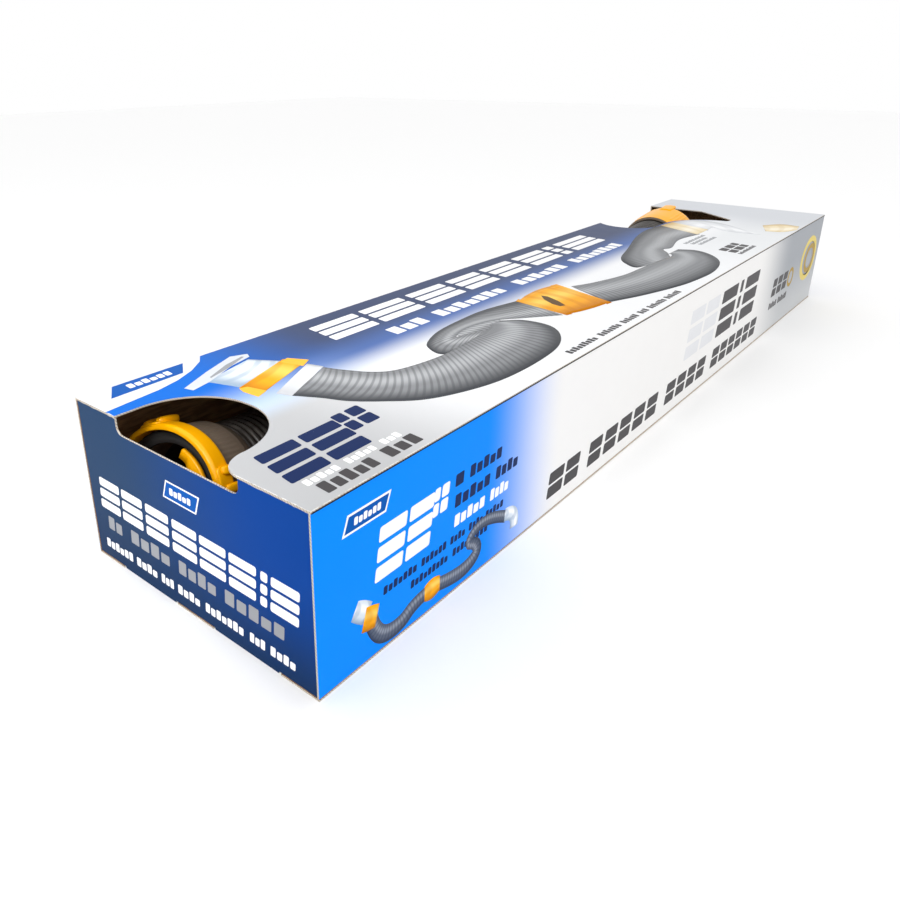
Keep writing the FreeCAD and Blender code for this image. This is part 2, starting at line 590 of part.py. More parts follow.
def elbow():
    """Clear 45 degree elbow with a swivel lug ring on its inlet, lying on its side."""
    tube = "Sizes.elbow_radius"
    inside = "(Sizes.elbow_radius - Sizes.elbow_wall)"

    def solid(suffix, radius, margin):
        """Inlet cylinder, bend and outlet cylinder of one radius, fused."""
        inlet = document.addObject("Part::Cylinder", f"elbow_inlet_{suffix}")
        inlet.setExpression("Radius", radius)
        inlet.setExpression("Height", f"Sizes.elbow_inlet_length + {margin}")
        inlet.setExpression("Placement.Base.z", f"-{margin}")
        bend = document.addObject("Part::Torus", f"elbow_bend_{suffix}")
        bend.setExpression("Radius1", "Sizes.elbow_bend_radius")
        bend.setExpression("Radius2", radius)
        bend.setExpression("Angle3", "Sizes.elbow_bend_angle")
        bend.Placement = FreeCAD.Placement(
            Vector(-size("Sizes.elbow_bend_radius"), 0, size("Sizes.elbow_inlet_length")),
            FreeCAD.Rotation(Vector(1, 0, 0), 90))
        angle = math.radians(size("Sizes.elbow_bend_angle"))
        reach = size("Sizes.elbow_bend_radius")
        outlet = document.addObject("Part::Cylinder", f"elbow_outlet_{suffix}")
        outlet.setExpression("Radius", radius)
        outlet.setExpression("Height", f"Sizes.elbow_outlet_length + {margin}")
        outlet.Placement = FreeCAD.Placement(
            Vector(-reach + reach * math.cos(angle), 0,
                   size("Sizes.elbow_inlet_length") + reach * math.sin(angle)),
            FreeCAD.Rotation(Vector(0, 1, 0), -size("Sizes.elbow_bend_angle")))
        fused = document.addObject("Part::MultiFuse", f"elbow_solid_{suffix}")
        fused.Shapes = [inlet, bend, outlet]
        return fused

    flange = document.addObject("Part::Cylinder", "elbow_flange")
    flange.setExpression("Radius", f"{tube} + Sizes.elbow_flange_height")
    flange.setExpression("Height", "Sizes.elbow_wall * 2")
    outside = document.addObject("Part::MultiFuse", "elbow_outside")
    outside.Shapes = [solid("outer", tube, 0), flange]
    body = document.addObject("Part::Cut", "elbow_body")
    body.Label = "elbow_body"
    body.Base = outside
    body.Tool = solid("inner", inside, 1)
    nodes.append(body)
    document.recompute()

    flange_clear = f"({tube} + Sizes.elbow_flange_height + Sizes.swivel_clearance)"
    neck_clear = f"({tube} + Sizes.swivel_clearance)"
    lip_front = "(2 * Sizes.elbow_wall + Sizes.swivel_clearance)"
    ring, axis = turned_body("elbow_lug_ring", [
        (flange_clear, "-2 * Sizes.elbow_wall"),
        (f"{flange_clear} + Sizes.elbow_wall", "-2 * Sizes.elbow_wall"),
        (f"{flange_clear} + Sizes.elbow_wall", lip_front + " + Sizes.elbow_wall"),
        (neck_clear, lip_front + " + Sizes.elbow_wall"),
        (neck_clear, lip_front), (flange_clear, lip_front)])
    gasket, _ = turned_body("elbow_gasket", [
        (inside, "-Sizes.gasket_height"), (tube, "-Sizes.gasket_height"), (tube, "0"), (inside, "0")])
    ring_reach = size(f"{flange_clear} + Sizes.elbow_wall")
    spot = Vector(size(f"{INNER_HALF_WIDTH} - Sizes.elbow_side_gap") - ring_reach,
                  size(f"{HALF_LENGTH} - Sizes.elbow_end_gap"),
                  size("Sizes.board + Sizes.wall_gap") + ring_reach)
    lying = FreeCAD.Rotation(Vector(1, 0, 0), -90)
    body.Placement = FreeCAD.Placement(spot, lying)
    for piece in (ring, gasket):
        piece.Placement = FreeCAD.Placement(spot, facing(Vector(0, -1, 0)))


def threaded_adapter():
    """Stepped adapter that lies flat on the carton's floor with its largest thread down."""
    corners = [("Sizes.stepped_bore_radius", "0")]
    for step in range(3, -1, -1):
        radius = f"(Sizes.stepped_base_radius - {step} * Sizes.stepped_step_in)"
        top = f"({3 - step} * Sizes.stepped_step_height)"
        bottom = (f"({4 - step} * Sizes.stepped_step_height)" if step else
                  "(3 * Sizes.stepped_step_height + Sizes.stepped_base_height)")
        corners += [(radius, top), (radius, bottom)]
    corners.append(("Sizes.stepped_bore_radius", corners[-1][1]))
    body, _ = turned_body("threaded_adapter", corners)
    place(body,
          x=f"Sizes.stepped_base_radius + Sizes.stepped_side_gap - {INNER_HALF_WIDTH}",
          y=f"{HALF_LENGTH} - Sizes.stepped_depth",
          z="Sizes.board + 3 * Sizes.stepped_step_height + Sizes.stepped_base_height")


# ---------------------------------------------------------------- whole kit
carton_bottom_panel()
carton_side_panels()
carton_top_panel()
carton_glue_flap()
end_flap("near_end_flap", -1, True)
end_flap("far_end_flap", 1, False)
for end_name, end in (("near", -1), ("far", 1)):
    for side_name, side in (("left", -1), ("right", 1)):
        dust_flap(f"{end_name}_{side_name}_dust_flap", end, side)
left_hose_and_fittings()
right_hose_and_fittings()
clear_adapter()
elbow()
threaded_adapter()
document.recompute()

for item in document.Objects:
    if "Invalid" in item.State or "Error" in item.State:
        raise RuntimeError(f"{item.Name} could not be built: {item.State}")
for node in nodes:
    if node.Shape.isNull() or not node.Shape.isValid():
        raise RuntimeError(f"{node.Label} has no valid shape")

os.makedirs("parts", exist_ok=True)
for node in nodes:
    node.Shape.exportStep(f"parts/{node.Label}.step")
box = nodes[0].Shape.BoundBox
print(f"{len(nodes)} nodes; carton {box.XLength:.1f} x {box.YLength:.1f} mm, "
      f"height {size(CARTON_HEIGHT):.1f} mm")
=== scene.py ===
# %% [markdown]
# # A boxed sewer hose kit
# The object is a long folding carton with two cut-out windows. Inside lie two ribbed hoses,
# each with a swivel fitting at both ends, two clear adapters and a stepped threaded one.
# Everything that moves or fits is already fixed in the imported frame. These cells build the
# looks around it: the printed board, the moulded plastics and the ribbed vinyl.

# %% Load the fixed frame
import bmesh
import bpy
import json
import math
import numpy as np
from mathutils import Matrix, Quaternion, Vector


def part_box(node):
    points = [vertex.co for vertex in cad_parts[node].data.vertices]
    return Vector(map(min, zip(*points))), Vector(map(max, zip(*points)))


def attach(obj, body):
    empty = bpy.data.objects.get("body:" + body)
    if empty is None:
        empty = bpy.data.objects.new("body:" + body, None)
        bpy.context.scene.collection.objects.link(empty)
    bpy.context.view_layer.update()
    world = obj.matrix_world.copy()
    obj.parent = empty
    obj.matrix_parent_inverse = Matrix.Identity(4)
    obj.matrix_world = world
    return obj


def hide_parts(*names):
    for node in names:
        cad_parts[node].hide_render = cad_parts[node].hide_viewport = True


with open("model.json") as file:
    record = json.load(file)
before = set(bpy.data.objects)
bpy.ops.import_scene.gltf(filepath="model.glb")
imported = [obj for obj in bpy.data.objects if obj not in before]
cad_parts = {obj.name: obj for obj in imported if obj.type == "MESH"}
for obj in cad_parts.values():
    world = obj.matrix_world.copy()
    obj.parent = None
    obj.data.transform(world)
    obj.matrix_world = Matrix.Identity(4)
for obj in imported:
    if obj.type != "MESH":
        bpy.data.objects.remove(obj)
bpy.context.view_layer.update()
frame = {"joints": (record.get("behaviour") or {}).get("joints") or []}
MM = 0.001
joints = {joint["name"]: joint for joint in frame["joints"]}
print("joints:", ", ".join(joints))

# %% [markdown]
# ## The carton's own measures
# Every piece of print and board is placed from the carton's edges, so these come first,
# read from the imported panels.

# %% Edges of the carton
half_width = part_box("carton_top_panel")[1][0]
half_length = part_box("carton_top_panel")[1][1]
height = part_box("carton_top_panel")[1][2]
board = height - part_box("carton_top_panel")[0][2]
# The board is sunk by this much, so that the ink on it ends within the carton's own size.
SUNK = 0.00028
print(f"carton {2 * half_width:.4f} x {2 * half_length:.4f} x {height:.4f}, board {board:.4f}")

# %% [markdown]
# ## Small tools for node trees
# A finish is a little tree of nodes. Each helper adds one node and returns its output, so a
# recipe for a finish reads like a sum. Patterns read Object coordinates, in metres, so a
# grain has its real size on every piece.

# %% Node helpers
def object_axes(tree):
    """The three Object coordinates as separate outputs."""
    place = tree.nodes.new("ShaderNodeTexCoord")
    split = tree.nodes.new("ShaderNodeSeparateXYZ")
    tree.links.new(place.outputs["Object"], split.inputs[0])
    return split.outputs


def map_axes(tree, name):
    """The two coordinates of a piece's own map, in metres along and across it."""
    place = tree.nodes.new("ShaderNodeUVMap")
    place.uv_map = name
    split = tree.nodes.new("ShaderNodeSeparateXYZ")
    tree.links.new(place.outputs["UV"], split.inputs[0])
    return split.outputs


def feed(tree, socket, value):
    """Put a number, a colour or another node's output into a socket."""
    if isinstance(value, bpy.types.NodeSocket):
        tree.links.new(value, socket)
    else:
        socket.default_value = value


def maths(tree, operation, first, second=0.0):
    """One step of arithmetic."""
    node = tree.nodes.new("ShaderNodeMath")
    node.operation = operation
    feed(tree, node.inputs[0], first)
    feed(tree, node.inputs[1], second)
    return node.outputs[0]


def fade(tree, value, low, high):
    """0 below low, 1 above high, and a smooth step between; low may be the larger."""
    node = tree.nodes.new("ShaderNodeMapRange")
    node.interpolation_type = "SMOOTHSTEP"
    feed(tree, node.inputs["Value"], value)
    node.inputs["From Min"].default_value = low
    node.inputs["From Max"].default_value = high
    return node.outputs[0]


def blend_colours(tree, share, first, second):
    """first where share is 0, second where it is 1."""
    node = tree.nodes.new("ShaderNodeMix")
    node.data_type = "RGBA"
    feed(tree, node.inputs[0], share)
    feed(tree, node.inputs[6], first)
    feed(tree, node.inputs[7], second)
    return node.outputs[2]


def noise(tree, size, detail=3.0, stretch=(1, 1, 1)):
    """Soft random pattern whose patches are about size metres across, from 0 to 1."""
    place = tree.nodes.new("ShaderNodeTexCoord")
    mapping = tree.nodes.new("ShaderNodeMapping")
    mapping.inputs["Scale"].default_value = stretch
    tree.links.new(place.outputs["Object"], mapping.inputs["Vector"])
    node = tree.nodes.new("ShaderNodeTexNoise")
    node.inputs["Scale"].default_value = 1.0 / size
    node.inputs["Detail"].default_value = detail
    tree.links.new(mapping.outputs["Vector"], node.inputs["Vector"])
    return node.outputs["Fac"]


def ink(red, green, blue):
    """A colour given the way printers note it, 0 to 255, as the linear light Blender wants."""
    share = np.array([red, green, blue]) / 255.0
    linear = np.where(share <= 0.04045, share / 12.92, ((share + 0.055) / 1.055) ** 2.4)
    return (*linear.tolist(), 1.0)


# %% [markdown]
# ## One recipe for a finish
# Real plastics and papers are never one flat colour. The recipe takes a colour, which may
# itself be a small tree, darkens and lightens it a little with a soft noise, lets the
# roughness wander by the same noise, and raises a fine grain as bump.

# %% The finish recipe
CLOUD = 12        # a patch of the mottle is this many grains across


def make_finish(name, colour, roughness, grain=0.0015, mottle=0.06, bump=0.00004, wander=0.08,
                **sockets):
    """A material: colour mottled by noise, roughness that wanders, and a fine raised grain.

    Brightness is 1 - mottle + 2 * mottle * noise, and roughness wanders by the same noise."""
    material = bpy.data.materials.new(name)
    material.use_nodes = True
    tree = material.node_tree
    shader = tree.nodes["Principled BSDF"]
    base = colour(tree) if callable(colour) else colour
    cloud = noise(tree, grain * CLOUD, 4.0)
    shade = tree.nodes.new("ShaderNodeHueSaturation")
    feed(tree, shade.inputs["Color"], base)
    feed(tree, shade.inputs["Value"],
         maths(tree, "ADD", 1.0 - mottle, maths(tree, "MULTIPLY", cloud, 2 * mottle)))
    tree.links.new(shade.outputs[0], shader.inputs["Base Color"])
    feed(tree, shader.inputs["Roughness"],
         maths(tree, "ADD", roughness - wander / 2, maths(tree, "MULTIPLY", cloud, wander)))
    if bump:
        raised = tree.nodes.new("ShaderNodeBump")
        raised.inputs["Distance"].default_value = bump
        raised.inputs["Strength"].default_value = 0.6
        feed(tree, raised.inputs["Height"], noise(tree, grain, 2.0))
        tree.links.new(raised.outputs[0], shader.inputs["Normal"])
    for socket, value in sockets.items():
        shader.inputs[socket.replace("_", " ")].default_value = value
    return material


# %% [markdown]
# ## Inks of the carton
# Carton ink is dull under a thin varnish, so it keeps almost no mirror-like light.
# The top is printed in one sweep: a slate band along the left edge that pales through blue
# to white, a brighter blue at the near end, and a light grey far end. Each is a smooth step
# along or across the board, mixed one over the other. Along the folds the print wears thin,
# and the white board shows through in specks.

# %% Worn folds
VARNISH = {"Coat_Weight": 0.01, "Coat_Roughness": 0.2, "Specular_IOR_Level": 0.03}
WHITE_BOARD = ink(226, 226, 224)


def worn_folds(tree, colour, distances):
    """The colour, with specks of bare board where any of the distances, in metres, is small."""
    specks = noise(tree, 0.004, 6.0)
    for distance in distances:
        close = fade(tree, distance, 0.0016, 0.0002)
        rubbed = fade(tree, maths(tree, "MULTIPLY", close, specks), 0.34, 0.62)
        colour = blend_colours(tree, rubbed, colour, WHITE_BOARD)
    return colour


def gap_to(tree, coordinate, edge):
    """Distance of a coordinate from an edge, never negative."""
    return maths(tree, "ABSOLUTE", maths(tree, "SUBTRACT", coordinate, edge))


# %% [markdown]
# The three colour sheets could be pictures wrapped on the board. Worked out from coordinates
# instead, they need no picture file and stay sharp from close by.

# %% Print on the top, the end and the sides
def top_print(tree):
    """Slate band to white across, brighter blue near end, light grey far end."""
    across, along, _ = object_axes(tree)
    slate = blend_colours(tree, fade(tree, across, -0.075, -0.018), ink(62, 74, 106),
                          ink(78, 108, 170))
    band = blend_colours(tree, fade(tree, across, -0.030, 0.012), slate, ink(238, 239, 241))
    azure = blend_colours(tree, fade(tree, across, -0.060, 0.005), ink(0, 104, 206),
                          ink(196, 214, 236))
    near = fade(tree, along, 0.215 - half_length, 0.060 - half_length)
    near_sheet = blend_colours(tree, fade(tree, across, -0.012, 0.022), azure, ink(182, 183, 185))
    colour = blend_colours(tree, near, band, near_sheet)
    grey_edge = blend_colours(tree, fade(tree, across, 0.010, 0.060), colour, ink(226, 228, 230))
    colour = blend_colours(tree, fade(tree, along, 0.62 - half_length, 0.86 - half_length),
                           colour, grey_edge)
    pale = blend_colours(tree, fade(tree, along, 0.86 - half_length, 1.02 - half_length),
                         colour, ink(206, 209, 214))
    return worn_folds(tree, pale, [gap_to(tree, across, half_width),
                                   gap_to(tree, across, -half_width),
                                   gap_to(tree, along, -half_length)])


def end_print(tree):
    """Navy at the left to strong blue at the right, deeper towards the bottom."""
    across, _, up = object_axes(tree)
    colour = blend_colours(tree, fade(tree, across, -0.085, 0.095), ink(34, 62, 96),
                           ink(0, 62, 144))
    colour = blend_colours(tree, fade(tree, up, 0.085, -0.012), colour, ink(8, 42, 80))
    return worn_folds(tree, colour, [gap_to(tree, across, half_width),
                                     gap_to(tree, up, height - board)])


def side_print(tree):
    """Bright blue near end, white middle, grey far end."""
    _, along, up = object_axes(tree)
    colour = blend_colours(tree, fade(tree, along, 0.168 - half_length, 0.280 - half_length),
                           ink(0, 134, 250), ink(236, 235, 234))
    steel = blend_colours(tree, fade(tree, up, 0.0, 0.09), ink(196, 198, 200), ink(158, 162, 168))
    colour = blend_colours(tree, fade(tree, along, 0.770 - half_length, 0.930 - half_length),
                           colour, steel)
    return worn_folds(tree, colour, [gap_to(tree, up, height), gap_to(tree, up, 0.0)])


top_ink = make_finish("ink_top", top_print, 0.34, mottle=0.015, **VARNISH)
end_ink = make_finish("ink_end", end_print, 0.34, mottle=0.02, **VARNISH)
side_ink = make_finish("ink_side", side_print, 0.34, mottle=0.015, **VARNISH)
left_ink = make_finish("ink_left", side_print, 0.34, mottle=0.015, **VARNISH)
plain_white = make_finish("ink_bottom", ink(232, 232, 230), 0.4, mottle=0.02, **VARNISH)
print("carton inks:", ", ".join(one.name for one in (top_ink, end_ink, side_ink, left_ink)))

# %% [markdown]
# ## Bare board
# Inside, the board is brown kraft with long fibres. Its cut edges are pale grey, with the
# little waves of the flute between two liners, drawn as stripes of painted shade in its pockets.

# %% Kraft inside and cut edges
FLUTE_PITCH = 0.0024


def kraft_colour(tree):
    """Brown with darker and lighter fibres drawn out along the board."""
    fibres = noise(tree, 0.0025, 6.0, (1, 0.12, 1))
    return blend_colours(tree, fade(tree, fibres, 0.35, 0.68), ink(122, 86, 52), ink(158, 120, 80))


def edge_colour_and_pocket_shade(tree):
    """Pale liners with painted shade in the pockets of the flute every 2.4 mm."""
    across, along, up = object_axes(tree)
    run = maths(tree, "ADD", across, maths(tree, "ADD", along, up))
    wave = maths(tree, "SINE", maths(tree, "MULTIPLY", run, 2 * math.pi / FLUTE_PITCH))
    # The darker colour is painted shade in the flute's pockets.
    return blend_colours(tree, fade(tree, wave, 0.25, 0.9), ink(196, 188, 176), ink(150, 136, 118))


kraft = make_finish("kraft_inside", kraft_colour, 0.86, grain=0.0006, mottle=0.10, bump=0.00008)
cut_edge = make_finish("cut_edge", edge_colour_and_pocket_shade, 0.85, grain=0.0005, mottle=0.12, bump=0.00006)
print("bare board made")

# %% [markdown]
# ## Sheets of board from an outline
# A folding carton is flat board cut to an outline, so each panel here is its outline given a
# thickness: the printed face, the kraft face, and a strip of cut edge round them. A small
# bevel rounds every cut edge, as a die's crease does, and catches the light.

# %% Outline helpers
def arc(centre, radius, first, last, count=14):
    """Points on a circle from the first angle to the last, in degrees."""
    angle = np.radians(np.linspace(first, last, count))
    return np.column_stack([centre[0] + radius * np.cos(angle), centre[1] + radius * np.sin(angle)])


def outline(*parts):
    """Join points and arcs into one closed outline."""
    return np.vstack([np.atleast_2d(np.asarray(part, float)) for part in parts])


def signed_area(loop):
    """Twice the area, positive when the outline runs anticlockwise."""
    following = np.roll(loop, -1, axis=0)
    return float(np.sum(loop[:, 0] * following[:, 1] - following[:, 0] * loop[:, 1]))


# %% [markdown]
# A mesh could be built face by face in a loop. Handing whole arrays over at once is quicker,
# and leaves the shape to be read in one place.

# %% Mesh helpers
def make_piece(name, points, faces, finishes, face_finish=None, smooth=True):
    """A mesh object at the origin, with its place in its points."""
    mesh = bpy.data.meshes.new(name)
    mesh.from_pydata(np.asarray(points).tolist(), [], faces)
    for finish in finishes:
        mesh.materials.append(finish)
    if face_finish is not None:
        mesh.polygons.foreach_set("material_index", np.asarray(face_finish, int))
    mesh.polygons.foreach_set("use_smooth", np.full(len(mesh.polygons), smooth))
    mesh.update()
    piece = bpy.data.objects.new(name, mesh)
    bpy.context.scene.collection.objects.link(piece)
    return piece


def settle(piece, body, slot, *nodes):
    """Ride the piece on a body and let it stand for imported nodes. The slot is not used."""
    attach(piece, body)
    if nodes:
        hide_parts(*nodes)
    return piece


def prism(loops, lay, low, high):
    """Closed flat solids: each outline at two levels, with a strip of sides.

    lay(points, level) puts an outline into space. Returns points, faces and what each face is:
    0 for the high face, 1 for the low one, 2 for the sides."""
    points, faces, kinds, base = [], [], [], 0
    for loop in loops:
        if signed_area(loop) < 0:
            loop = loop[::-1]
        count = len(loop)
        points += [lay(loop, high), lay(loop, low)]
        top = np.arange(base, base + count)
        bottom = top + count
        sides = np.column_stack([bottom, np.roll(bottom, -1), np.roll(top, -1), top])
        faces += [top.tolist(), bottom[::-1].tolist(), *sides.tolist()]
        kinds += [0, 1] + [2] * count
        base += 2 * count
    return np.vstack(points), faces, kinds


def round_edges(piece, width):
    """Bevel every edge sharper than 50 degrees, in two steps."""
    modifier = piece.modifiers.new("rounded", "BEVEL")
    modifier.width = width
    modifier.segments = 2
    modifier.limit_method = "ANGLE"
    modifier.angle_limit = math.radians(50)


# %% [markdown]
# ## The faces of the carton as sheets of paper
# Print and panels are drawn flat, then laid on a face. Each lay function takes flat points
# and a height above the face. On the top and the sides, flat x runs along the carton from
# its near end; on the near end it runs across. All are anticlockwise seen from outside, so
# faces point outwards.

# %% Lay functions
def columns(first, second, third):
    """Three columns of coordinates, each an array or one number."""
    return np.column_stack(np.broadcast_arrays(first, second, third))


def on_top(flat, level):
    """Flat x is across the carton and flat y along it from the near end."""
    return columns(flat[:, 0], flat[:, 1] - half_length, height + level)


def on_bottom(flat, level):
    """Seen from below: flat x is across, mirrored."""
    return columns(-flat[:, 0], flat[:, 1] - half_length, -level)


def on_right(flat, level):
    """Flat x is along the carton from the near end and flat y is up."""
    return columns(half_width + level, flat[:, 0] - half_length, flat[:, 1])


def on_left(flat, level):
    """Flat x is along the carton, mirrored, and flat y is up."""
    return columns(-half_width - level, -flat[:, 0] + half_length, flat[:, 1])


def on_near_end(flat, level):
    """Flat x is across the carton and flat y is up."""
    return columns(flat[:, 0], -half_length - level, flat[:, 1])


def on_far_end(flat, level):
    """Flat x is across, mirrored, and flat y is up."""
    return columns(-flat[:, 0], half_length + level, flat[:, 1])


EDGE_ROUNDING = 0.35 * MM


def panel(name, node, body, loop, lay, outside, level=0.0):
    """One panel of the carton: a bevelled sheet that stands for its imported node."""
    points, faces, kinds = prism([loop], lay, level - board, level)
    piece = make_piece(name, points, faces, [outside, kraft, cut_edge], kinds, smooth=False)
    round_edges(piece, EDGE_ROUNDING)
    settle(piece, body, "raw_board" if outside is kraft else "printed_board", node)
    print(f"{name}: {len(loop)} corners, on {body}")


# %% [markdown]
# ## The top panel
# The near window is a D whose flat side is the fold, cut down into the end flap. The far one
# takes the left edge away, so the fitting there can stand proud. Both are arcs with straight
# runs between, so their outlines need only their ends and radii.

# %% Top panel with its two windows
length = 2 * half_length
window_left, window_right, window_radius, flare = 0.068, 0.038, 0.051, 0.020
sill = height - 0.0136
near_window = outline(
    (-window_left, 0.0),
    arc((window_radius - window_left, flare), window_radius, 180, 90, 22),
    arc((window_right - window_radius, flare), window_radius, 90, 0, 22),
    arc((window_right + flare, flare), flare, 180, 270, 12))
back = {"near": 0.266, "shoulder": 0.252, "neck": 0.215, "tip_near": 0.143, "tip_far": 0.130,
        "end": 0.085}
neck, tip, back_reach = -0.044, 0.022, -0.036


def bow(first, last, radius, turn):
    """Short arc between two points, with its centre on the left of the way for turn 1."""
    first, last = np.array(first), np.array(last)
    chord = last - first
    span = np.hypot(*chord)
    middle = (first + last) / 2
    rise = turn * math.sqrt(radius ** 2 - span ** 2 / 4)
    centre = middle + np.array([-chord[1], chord[0]]) / span * rise
    start = math.degrees(math.atan2(*(first - centre)[::-1]))
    stop = math.degrees(math.atan2(*(last - centre)[::-1]))
    sweep = (stop - start + 180) % 360 - 180
    return arc(centre, radius, start, start + sweep, 16)


far_window = outline(
    (-half_width, length - back["end"]),
    (back_reach, length - back["end"]),
    arc((tip - 0.006, length - back["tip_far"] - 0.002), 0.006, 50, 0, 5),
    arc((tip - 0.006, length - back["tip_near"] + 0.004), 0.006, 0, -50, 5),
    bow((tip - 0.003, length - back["tip_near"] - 0.001), (neck, length - back["neck"]), 0.070, 1),
    bow((neck, length - back["shoulder"]), (-half_width, length - back["near"]), 0.045, -1))
top_loop = outline((-half_width, 0), near_window, (half_width, 0), (half_width, length),
                   (-half_width, length), far_window)
panel("top_panel", "carton_top_panel", "carton", top_loop, on_top, top_ink, -SUNK)

# %% [markdown]
# ## Sides and bottom
# The left side is cut away under the far window. The bottom has two notches at each end, which
# the lock tabs of the end flaps drop into.

# %% Side and bottom panels
left_loop = outline(
    (0, board), (length, board), (length, height - board),
    (back["near"], height - board), (back["near"], height - 0.045 + 0.004),
    arc((back["near"] - 0.004, height - 0.041), 0.004, 0, -90, 5),
    arc((back["end"] + 0.004, height - 0.041), 0.004, 270, 180, 5),
    (back["end"], height - board), (0, height - board))
# The left face is seen mirrored, so distances from the far end run along flat x as they are.
panel("left_panel", "carton_left_panel", "carton", left_loop, on_left, left_ink)
right_loop = outline((0, board), (length, board), (length, height - board), (0, height - board))
panel("right_panel", "carton_right_panel", "carton", right_loop, on_right, side_ink, -SUNK)

tab_half, tab_offset, tab_gap = 0.031, 0.052, 0.0015
notch = board + 0.0004


def notches(edge, inward, order):
    """Corners of the two notches that the lock tabs drop into, along one end."""
    corners = []
    for side in order:
        first = side * tab_offset - order[1] * (tab_half + tab_gap)
        last = side * tab_offset + order[1] * (tab_half + tab_gap)
        corners += [(first, edge), (first, edge + inward), (last, edge + inward), (last, edge)]
    return corners


bottom_loop = outline((-half_width, 0), notches(0, notch, (-1, 1)), (half_width, 0),
                      (half_width, length), notches(length, -notch, (1, -1)), (-half_width, length))
panel("bottom_panel", "carton_bottom_panel", "carton", bottom_loop, on_bottom, plain_white)

# %% [markdown]
# ## Flaps
# An end flap hangs from the top fold and is locked by two tabs. Behind it two dust flaps close
# the corners, and a glue flap joins the top to the right side from within. Each end flap rides
# on its own body, so it folds open.

# %% End flaps, dust flaps and the glue flap
fold_gap = 0.0004
flap_side = half_width - board - fold_gap
flap_foot, flap_head = board + fold_gap, height - board - fold_gap


def flap_outline(window):
    """Outline of an end flap with rounded lock tabs, and the window's notch if it has one."""
    tabs = []
    for side in (-1, 1):
        left, right = side * tab_offset - tab_half, side * tab_offset + tab_half
        tabs += [(left, flap_foot), arc((left + 0.0012, fold_gap + 0.0012), 0.0012, 180, 270, 4),
                 arc((right - 0.0012, fold_gap + 0.0012), 0.0012, 270, 360, 4), (right, flap_foot)]
    loop = [(-flap_side, flap_foot), *tabs, (flap_side, flap_foot), (flap_side, flap_head)]
    if window:
        edge, corner = window_right + flare, 0.006
        loop += [(edge, flap_head), arc((edge - corner, sill + corner), corner, 0, -90, 8),
                 arc((corner - window_left, sill + corner), corner, 270, 180, 8),
                 (-window_left, flap_head)]
    return outline(*loop, (-flap_side, flap_head))


panel("near_end_flap_print", "near_end_flap", "near_flap", flap_outline(True), on_near_end, end_ink,
      -SUNK)
panel("far_end_flap_print", "far_end_flap", "far_flap", flap_outline(False), on_far_end, end_ink)
dust_head, dust_reach = sill - 0.003, 0.092
for end, lay in (("near", on_near_end), ("far", on_far_end)):
    for side, sign in (("left", -1), ("right", 1)):
        flat_sign = sign if end == "near" else -sign
        outer, inner = flap_side * flat_sign, (flap_side - dust_reach) * flat_sign
        taper = 0.012 * flat_sign
        loop = outline((outer, flap_foot), (inner + taper, flap_foot), (inner, flap_foot + 0.012),
                       (inner, dust_head - 0.012), (inner + taper, dust_head), (outer, dust_head))
        panel(f"{end}_{side}_dust_flap_board", f"{end}_{side}_dust_flap", "carton", loop, lay,
              kraft, -board - fold_gap)
glue_loop = outline(
    (half_width - board - 0.025, 3 * board), (half_width - board, 3 * board),
    (half_width - board, length - 3 * board), (half_width - board - 0.025, length - 3 * board))
panel("glue_flap_board", "carton_glue_flap", "carton", glue_loop, on_top, kraft, -board)

# %% [markdown]
# ## Round pieces as grids
# The rings, cuffs, gaskets and hoses are all a profile carried round or along something. A
# grid of points is worked out at once with numpy, one row for each step of the profile, and
# the same few lines turn any grid into faces.

# %% Grid helpers
def grid_faces(rows, count, wrap_rows):
    """Quads of a grid whose columns close on themselves, and whose rows may too."""
    row = np.arange(rows if wrap_rows else rows - 1)[:, None]
    column = np.arange(count)[None, :]
    after = (row + 1) % rows
    beside = (column + 1) % count
    corners = [row * count + column, row * count + beside, after * count + beside,
               after * count + column]
    return np.stack([np.broadcast_to(c, (row.size, count)) for c in corners], axis=-1).reshape(-1, 4)


def skin(name, grids, finish, wrap_rows=True):
    """One mesh from grids shaped (rows, columns, 3). Unless its rows wrap, a grid's first and
    last rows are closed with a face each."""
    points, faces, base = [], [], 0
    for grid in grids:
        rows, count = grid.shape[:2]
        points.append(grid.reshape(-1, 3))
        faces += (grid_faces(rows, count, wrap_rows) + base).tolist()
        if not wrap_rows:
            faces += [(base + np.arange(count))[::-1].tolist(),
                      (base + (rows - 1) * count + np.arange(count)).tolist()]
        base += rows * count
    return make_piece(name, np.vstack(points), faces, [finish])


def face_outwards(piece):
    """Merge doubled points, then point every face outwards as the closed shape asks."""
    mesh = bmesh.new()
    mesh.from_mesh(piece.data)
    bmesh.ops.remove_doubles(mesh, verts=mesh.verts, dist=1e-7)
    bmesh.ops.recalc_face_normals(mesh, faces=mesh.faces)
    mesh.to_mesh(piece.data)
    mesh.free()
    return piece


def step(value, low, high):
    """Smooth step of an array: 0 below low, 1 above high, 3t^2 - 2t^3 between."""
    t = np.clip((value - low) / (high - low), 0.0, 1.0)
    return t * t * (3 - 2 * t)


def plateau(value, half, soft):
    """1 where the value is within half of zero, falling smoothly to 0 over soft."""
    return 1 - step(np.abs(value), half - soft / 2, half + soft / 2)


def rounded(corners, radius):
    """Closed profile in mm with every corner turned into a short curve.

    A corner becomes the points (1-t)^2 A + 2t(1-t) C + t^2 B between A and B, which lie on
    its two sides at most radius away from the corner C."""
    corner = np.array(corners, float)
    before, after = np.roll(corner, 1, axis=0) - corner, np.roll(corner, -1, axis=0) - corner
    reach_a = np.hypot(*before.T)[:, None]
    reach_b = np.hypot(*after.T)[:, None]
    first = corner + before / reach_a * np.minimum(radius, reach_a * 0.45)
    last = corner + after / reach_b * np.minimum(radius, reach_b * 0.45)
    t = np.linspace(0, 1, 4)[None, :, None]
    curve = (1 - t) ** 2 * first[:, None] + 2 * t * (1 - t) * corner[:, None] + t ** 2 * last[:, None]
    return curve.reshape(-1, 2)


